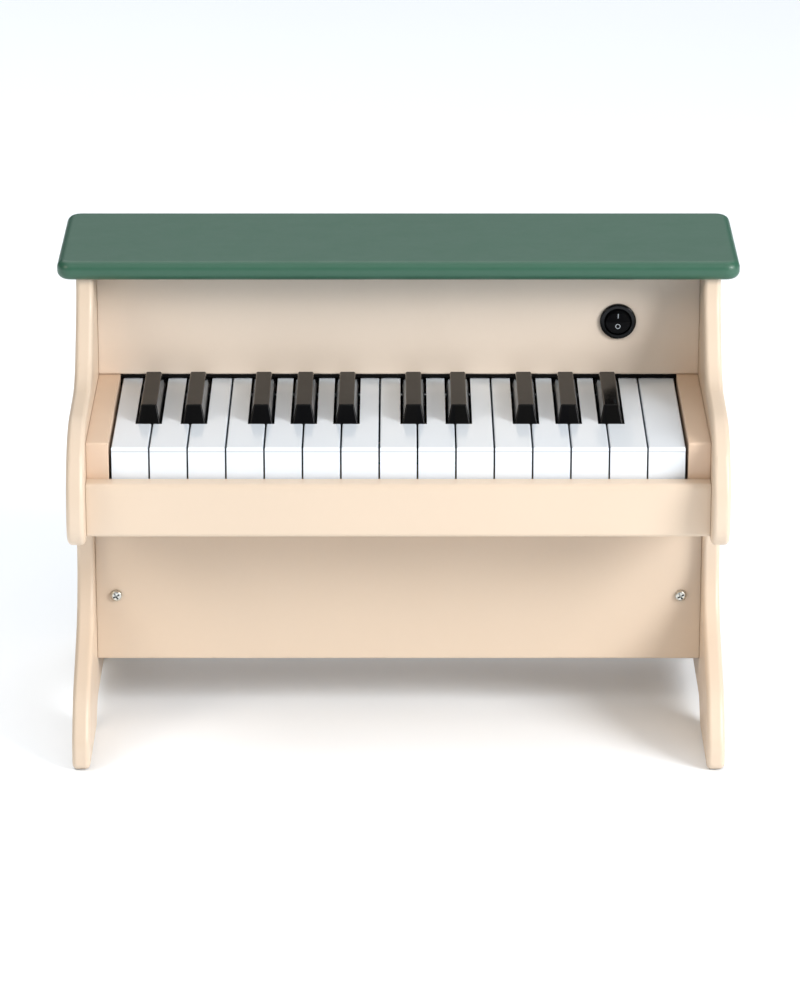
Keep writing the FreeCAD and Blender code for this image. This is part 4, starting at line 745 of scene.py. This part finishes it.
class PIANO_OT_lid(Operator):
    """Paint the lid"""
    bl_idname = "toy_piano.lid"
    bl_label = "Lid"

    def execute(self, context):
        cabinet = context.scene.piano_cabinet
        # The lid's edges are lightened partly as rubbed paint and partly as painted highlight.
        paint = sprayed_paint("green_satin_paint", cabinet.green, cabinet.green_rub_and_highlight, cabinet)
        dress(["lid"], paint)
        return {"FINISHED"}


class PIANO_OT_timber(Operator):
    """Give the bare battens, blocks, dowels and key bed their grain"""
    bl_idname = "toy_piano.timber"
    bl_label = "Timber"

    def execute(self, context):
        cabinet = context.scene.piano_cabinet
        dress(["key_bed", "key_battens", "rear_battens"],
              bare_timber("pine_along", cabinet, ALONG_X))
        dress(["corner_blocks", "lid_dowels"], bare_timber("pine_upright", cabinet, ALONG_Z))
        return {"FINISHED"}


class PIANO_OT_white_keys(Operator):
    """Give the white keys their glossy plastic"""
    bl_idname = "toy_piano.white_keys"
    bl_label = "White keys"

    def execute(self, context):
        keys = context.scene.piano_keys
        gloss = key_plastic("white_key_gloss", keys.white, keys.white_gloss, keys.white_warm,
                            keys.lip, IOR=1.53, Coat_Weight=0.25, Coat_Roughness=0.06)
        dress(WHITE_KEYS, gloss)
        return {"FINISHED"}


class PIANO_OT_black_keys(Operator):
    """Give the black keys their glossy plastic"""
    bl_idname = "toy_piano.black_keys"
    bl_label = "Black keys"

    def execute(self, context):
        keys = context.scene.piano_keys
        gloss = key_plastic("black_key_gloss", keys.black, keys.black_gloss, keys.black_warm,
                            keys.lip, IOR=1.2)
        dress(BLACK_KEYS, gloss)
        return {"FINISHED"}


class PIANO_OT_key_works(Operator):
    """Finish the axle, its comb, and the contact board and strip"""
    bl_idname = "toy_piano.key_works"
    bl_label = "Key works"

    def execute(self, context):
        keys, works = context.scene.piano_keys, context.scene.piano_works
        steel = plated_metal("drawn_steel", works.steel, shade(works.steel, 0.9),
                             rough=(0.18, 0.36), along=ALONG_X)
        dress(["key_axle"], steel)
        dress(["axle_comb"], moulded_plastic("comb_moulding", keys.comb, rough=(0.4, 0.6)))
        dress(["contact_strip"], silicone_strip("contact_silicone", keys.rubber))
        dress(["contact_board"], circuit_board("contact_board_mask", works))
        return {"FINISHED"}


class PIANO_OT_felts(Operator):
    """Cut the felt strips that the keys rest and stop on"""
    bl_idname = "toy_piano.felts"
    bl_label = "Felts"

    def execute(self, context):
        shape = bmesh.new()
        for low, high in solids_of("key_felts"):
            add_felt_strip(shape, low, high)
        bmesh.ops.recalc_face_normals(shape, faces=shape.faces)
        wool = pressed_felt("red_wool_felt", context.scene.piano_keys.felt, sheen=0.6)
        strips = add_piece("key_felt_strips", shape, wool, "cabinet")
        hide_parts("key_felts")
        return {"FINISHED"}


class PIANO_OT_panel_felt(Operator):
    """Glue the near-black felt strip under the upper panel's lower edge, which also stands in for
    the shadow there
    """
    bl_idname = "toy_piano.panel_felt"
    bl_label = "Panel felt"

    def execute(self, context):
        keys = context.scene.piano_keys
        panel_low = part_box("upper_front_panel")[0]
        left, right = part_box("left_key_cheek")[1].x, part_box("right_key_cheek")[0].x
        front = panel_low.y + keys.felt_inset
        low = Vector((left, front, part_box(WHITE_KEYS[0])[1].z + keys.felt_clearance))
        high = Vector((right, front + keys.felt_thickness, panel_low.z))
        shape = bmesh.new()
        add_felt_strip(shape, low, high)
        bmesh.ops.recalc_face_normals(shape, faces=shape.faces)
        # Felt made near-black, with almost no sheen, so that it also stands in for the shadow under
        # the panel.
        wool = pressed_felt("shadow_dark_wool_felt", keys.shadow_dark_felt, sheen=0.03)
        strip = add_piece("panel_felt_strip", shape, wool, "cabinet")
        return {"FINISHED"}


class PIANO_OT_switch(Operator):
    """Finish the switch and print the I and O on its rocker"""
    bl_idname = "toy_piano.switch"
    bl_label = "Switch"

    def execute(self, context):
        switch, works = context.scene.piano_switch, context.scene.piano_works
        dress(["switch_housing"], moulded_plastic("switch_housing_plastic", switch.plastic,
                                                  rough=(0.09, 0.16), IOR=1.32))
        dress(["switch_rocker"], moulded_plastic("switch_rocker_plastic", switch.plastic,
                                                 rough=(0.30, 0.44), IOR=1.2))
        brass = plated_metal("stamped_brass", works.brass, shade(works.brass, 0.8),
                             rough=(0.22, 0.4), along=ALONG_Y)
        dress(["switch_terminals"], brass)
        ink = printed_mark("white_print", switch.mark)
        lean = switch.face_lean
        outward = Vector((0, -math.cos(lean), -math.sin(lean)))
        fold = Vector(ROCKER_JOINT["pos_m"]) + switch.face_depth * outward
        upper = face_frame(2 * lean, fold) @ Matrix.Translation((0, switch.bar_lift, 0))
        lower = face_frame(0, fold) @ Matrix.Translation((0, -switch.ring_drop, 0))
        bar = prism(bar_outline(switch.bar_height, switch.bar_width), switch.print_height)
        ring = ring_shape(switch.ring_size, switch.stroke, switch.print_height)
        marks = (("switch_mark_on", bar, upper), ("switch_mark_off", ring, lower))
        for name, shape, place in marks:
            bmesh.ops.transform(shape, matrix=place, verts=shape.verts)
            add_piece(name, shape, ink, "switch_rocker")
        return {"FINISHED"}


class PIANO_OT_screws(Operator):
    """Plate the screws"""
    bl_idname = "toy_piano.screws"
    bl_label = "Screws"

    def execute(self, context):
        works = context.scene.piano_works
        dress(["lower_panel_screws", "rear_screws", "board_screws"],
              plated_metal("bright_zinc", works.zinc, works.zinc_cloud, rough=(0.24, 0.42)))
        return {"FINISHED"}


class PIANO_OT_speaker(Operator):
    """Finish the speaker's basket, cone and magnet"""
    bl_idname = "toy_piano.speaker"
    bl_label = "Speaker"

    def execute(self, context):
        works = context.scene.piano_works
        lacquer = moulded_plastic("basket_lacquer", works.lacquer, rough=(0.25, 0.45),
                                  grain=0.8 * MM, Coat_Weight=0.3, Coat_Roughness=0.2)
        dress(["speaker_basket"], lacquer)
        dress(["speaker_cone"], speaker_paper("cone_paper", works.paper))
        dress(["speaker_magnet"], ferrite("magnet_ferrite", works.ferrite))
        return {"FINISHED"}


class PIANO_OT_battery(Operator):
    """Finish the battery box, cover and cells"""
    bl_idname = "toy_piano.battery"
    bl_label = "Battery"

    def execute(self, context):
        works = context.scene.piano_works
        dress(["battery_box", "battery_cover"],
              moulded_plastic("battery_moulding", works.case, rough=(0.42, 0.6)))
        dress(["battery_cells"], cell_wrap("plain_cell_wrap", works))
        return {"FINISHED"}


class PIANO_OT_circuit(Operator):
    """Finish the main board, its standoffs and parts, and the leads"""
    bl_idname = "toy_piano.circuit"
    bl_label = "Circuit"

    def execute(self, context):
        keys, works = context.scene.piano_keys, context.scene.piano_works
        dress(["main_board"], circuit_board("main_board_mask", works))
        dress(["board_standoffs"],
              moulded_plastic("standoff_moulding", keys.comb, rough=(0.4, 0.6)))
        dress(["board_components"], chip_parts("board_part_coatings"))
        dress(["wire_leads"], wire_sleeves("lead_sleeves"))
        return {"FINISHED"}


class PIANO_OT_stage(Operator):
    """Lay the floor, set the lights and place the camera"""
    bl_idname = "toy_piano.stage"
    bl_label = "Stage"

    def execute(self, context):
        stage = context.scene.piano_stage
        floor = lay_floor(context.scene, stage)
        set_lights(context.scene, stage, floor)
        place_camera(context.scene, stage)
        return {"FINISHED"}


# ---- Stage ----

FLOOR_REACH = 20.0  # half the floor's side
FLOOR_DROP = 0.2 * MM  # from the feet down to the floor
FAR_LIGHTS = {  # turn to the right of the front, height over the horizon and spread, in degrees
    "top_light": (10, 70, 80),
    "fill_light": (-50, 30, 24),
    "back_light": (180, 50, 60),
}
WHITE_LIGHT = (1, 1, 1)
FLOOR_LIGHT_PLACE, FLOOR_LIGHT_TARGET = (-1.4, 0.1, 2.2), (-1.0, 0.2, 0)
FLOOR_LIGHT_SIZE = 1.6
SENSOR_WIDTH = 36.0  # millimetres
NEAREST, FARTHEST = 0.05, 30.0  # what the camera sees


def lay_floor(scene, stage):
    """A wide flat floor just under the feet."""
    shape = bmesh.new()
    bmesh.ops.create_grid(shape, x_segments=8, y_segments=8, size=FLOOR_REACH)
    mesh = bpy.data.meshes.new("floor")
    shape.to_mesh(mesh)
    shape.free()
    mesh.materials.append(studio_floor("pale_floor", stage.floor))
    floor = bpy.data.objects.new("floor", mesh)
    floor.location.z = -FLOOR_DROP
    scene.collection.objects.link(floor)
    return floor


def add_light(scene, name, kind, place, target, **settings):
    """A light at a place, turned to a target."""
    light = bpy.data.lights.new(name, kind)
    for key, value in settings.items():
        setattr(light, key, value)
    made = bpy.data.objects.new(name, light)
    made.location = place
    made.rotation_euler = (Vector(place) - Vector(target)).to_track_quat("Z", "Y").to_euler()
    scene.collection.objects.link(made)
    return made


def towards(bearing, height):
    """Direction to a light: its turn to the right of the front, and its height over the horizon."""
    level = math.cos(height)
    return Vector((math.sin(bearing) * level, -math.cos(bearing) * level, math.sin(height)))


def add_far_light(scene, name, energy, tint=WHITE_LIGHT):
    """A broad light without falloff."""
    bearing, height, spread = (math.radians(turn) for turn in FAR_LIGHTS[name])
    add_light(scene, name, "SUN", towards(bearing, height), (0, 0, 0),
              energy=energy, angle=spread, color=tint)


def set_lights(scene, stage, floor):
    """Key light, three far lights, a light for the floor alone, and an even sky."""
    middle = (CAD_BOX[0] + CAD_BOX[1]) / 2
    key_place = middle + stage.key_distance * towards(stage.key_bearing, stage.key_height)
    add_light(scene, "key_light", "AREA", key_place, middle,
              energy=stage.key_power, shape="DISK", size=stage.key_size)
    add_far_light(scene, "top_light", stage.top_strength)
    add_far_light(scene, "fill_light", stage.fill_strength, stage.fill_tint)
    add_far_light(scene, "back_light", stage.back_strength)
    washed = bpy.data.collections.new("washed_floor")
    washed.objects.link(floor)
    wash = add_light(scene, "floor_light", "AREA", FLOOR_LIGHT_PLACE, FLOOR_LIGHT_TARGET,
                     energy=stage.floor_power, shape="SQUARE", size=FLOOR_LIGHT_SIZE)
    wash.light_linking.receiver_collection = washed
    world = bpy.data.worlds.new("studio")
    world.use_nodes = True
    sky = world.node_tree.nodes["Background"]
    sky.inputs["Color"].default_value = (*stage.sky_tint, 1)
    sky.inputs["Strength"].default_value = stage.sky
    scene.world = world
    scene.view_settings.view_transform = "Standard"


def place_camera(scene, stage):
    """A camera in front of the part that looks down on the keys."""
    lens = bpy.data.cameras.new("camera")
    lens.lens, lens.sensor_width = stage.lens, SENSOR_WIDTH
    lens.clip_start, lens.clip_end = NEAREST, FARTHEST
    camera = bpy.data.objects.new("camera", lens)
    camera.location = (stage.camera_side, stage.camera_back, stage.camera_height)
    camera.rotation_euler = (math.radians(90) - stage.camera_pitch, 0, 0)
    scene.collection.objects.link(camera)
    scene.camera = camera


# ---- Add-on ----

OPERATORS = (
    PIANO_OT_stage, PIANO_OT_boards, PIANO_OT_lid, PIANO_OT_timber, PIANO_OT_white_keys,
    PIANO_OT_black_keys, PIANO_OT_key_works, PIANO_OT_felts, PIANO_OT_panel_felt,
    PIANO_OT_switch, PIANO_OT_screws, PIANO_OT_speaker, PIANO_OT_battery, PIANO_OT_circuit,
)
GROUPS = {
    "piano_cabinet": PIANO_PG_cabinet, "piano_keys": PIANO_PG_keys, "piano_switch": PIANO_PG_switch,
    "piano_works": PIANO_PG_works, "piano_stage": PIANO_PG_stage,
}


class PIANO_PT_sidebar(Panel):
    """Sizes, colours and steps of the toy piano"""
    bl_idname = "PIANO_PT_sidebar"
    bl_label = "Toy Piano"
    bl_space_type = "VIEW_3D"
    bl_region_type = "UI"
    bl_category = "Toy Piano"

    def draw(self, context):
        for operator in OPERATORS:
            self.layout.operator(operator.bl_idname)
        for place in GROUPS:
            group = getattr(context.scene, place)
            column = self.layout.box().column()
            for name in group.bl_rna.properties.keys():
                if name not in ("rna_type", "name"):
                    column.prop(group, name)


def register():
    """Make the settings, steps and panel known."""
    for group in GROUPS.values():
        bpy.utils.register_class(group)
    for place, group in GROUPS.items():
        setattr(bpy.types.Scene, place, PointerProperty(type=group))
    for operator in OPERATORS:
        bpy.utils.register_class(operator)
    bpy.utils.register_class(PIANO_PT_sidebar)


def unregister():
    """Take the settings, steps and panel away again."""
    bpy.utils.unregister_class(PIANO_PT_sidebar)
    for operator in reversed(OPERATORS):
        bpy.utils.unregister_class(operator)
    for place, group in GROUPS.items():
        delattr(bpy.types.Scene, place)
        bpy.utils.unregister_class(group)


def main():
    """Run every step in order."""
    register()
    for operator in OPERATORS:
        group, step = operator.bl_idname.split(".")
        getattr(getattr(bpy.ops, group), step)()


if __name__ == "__main__":
    main()
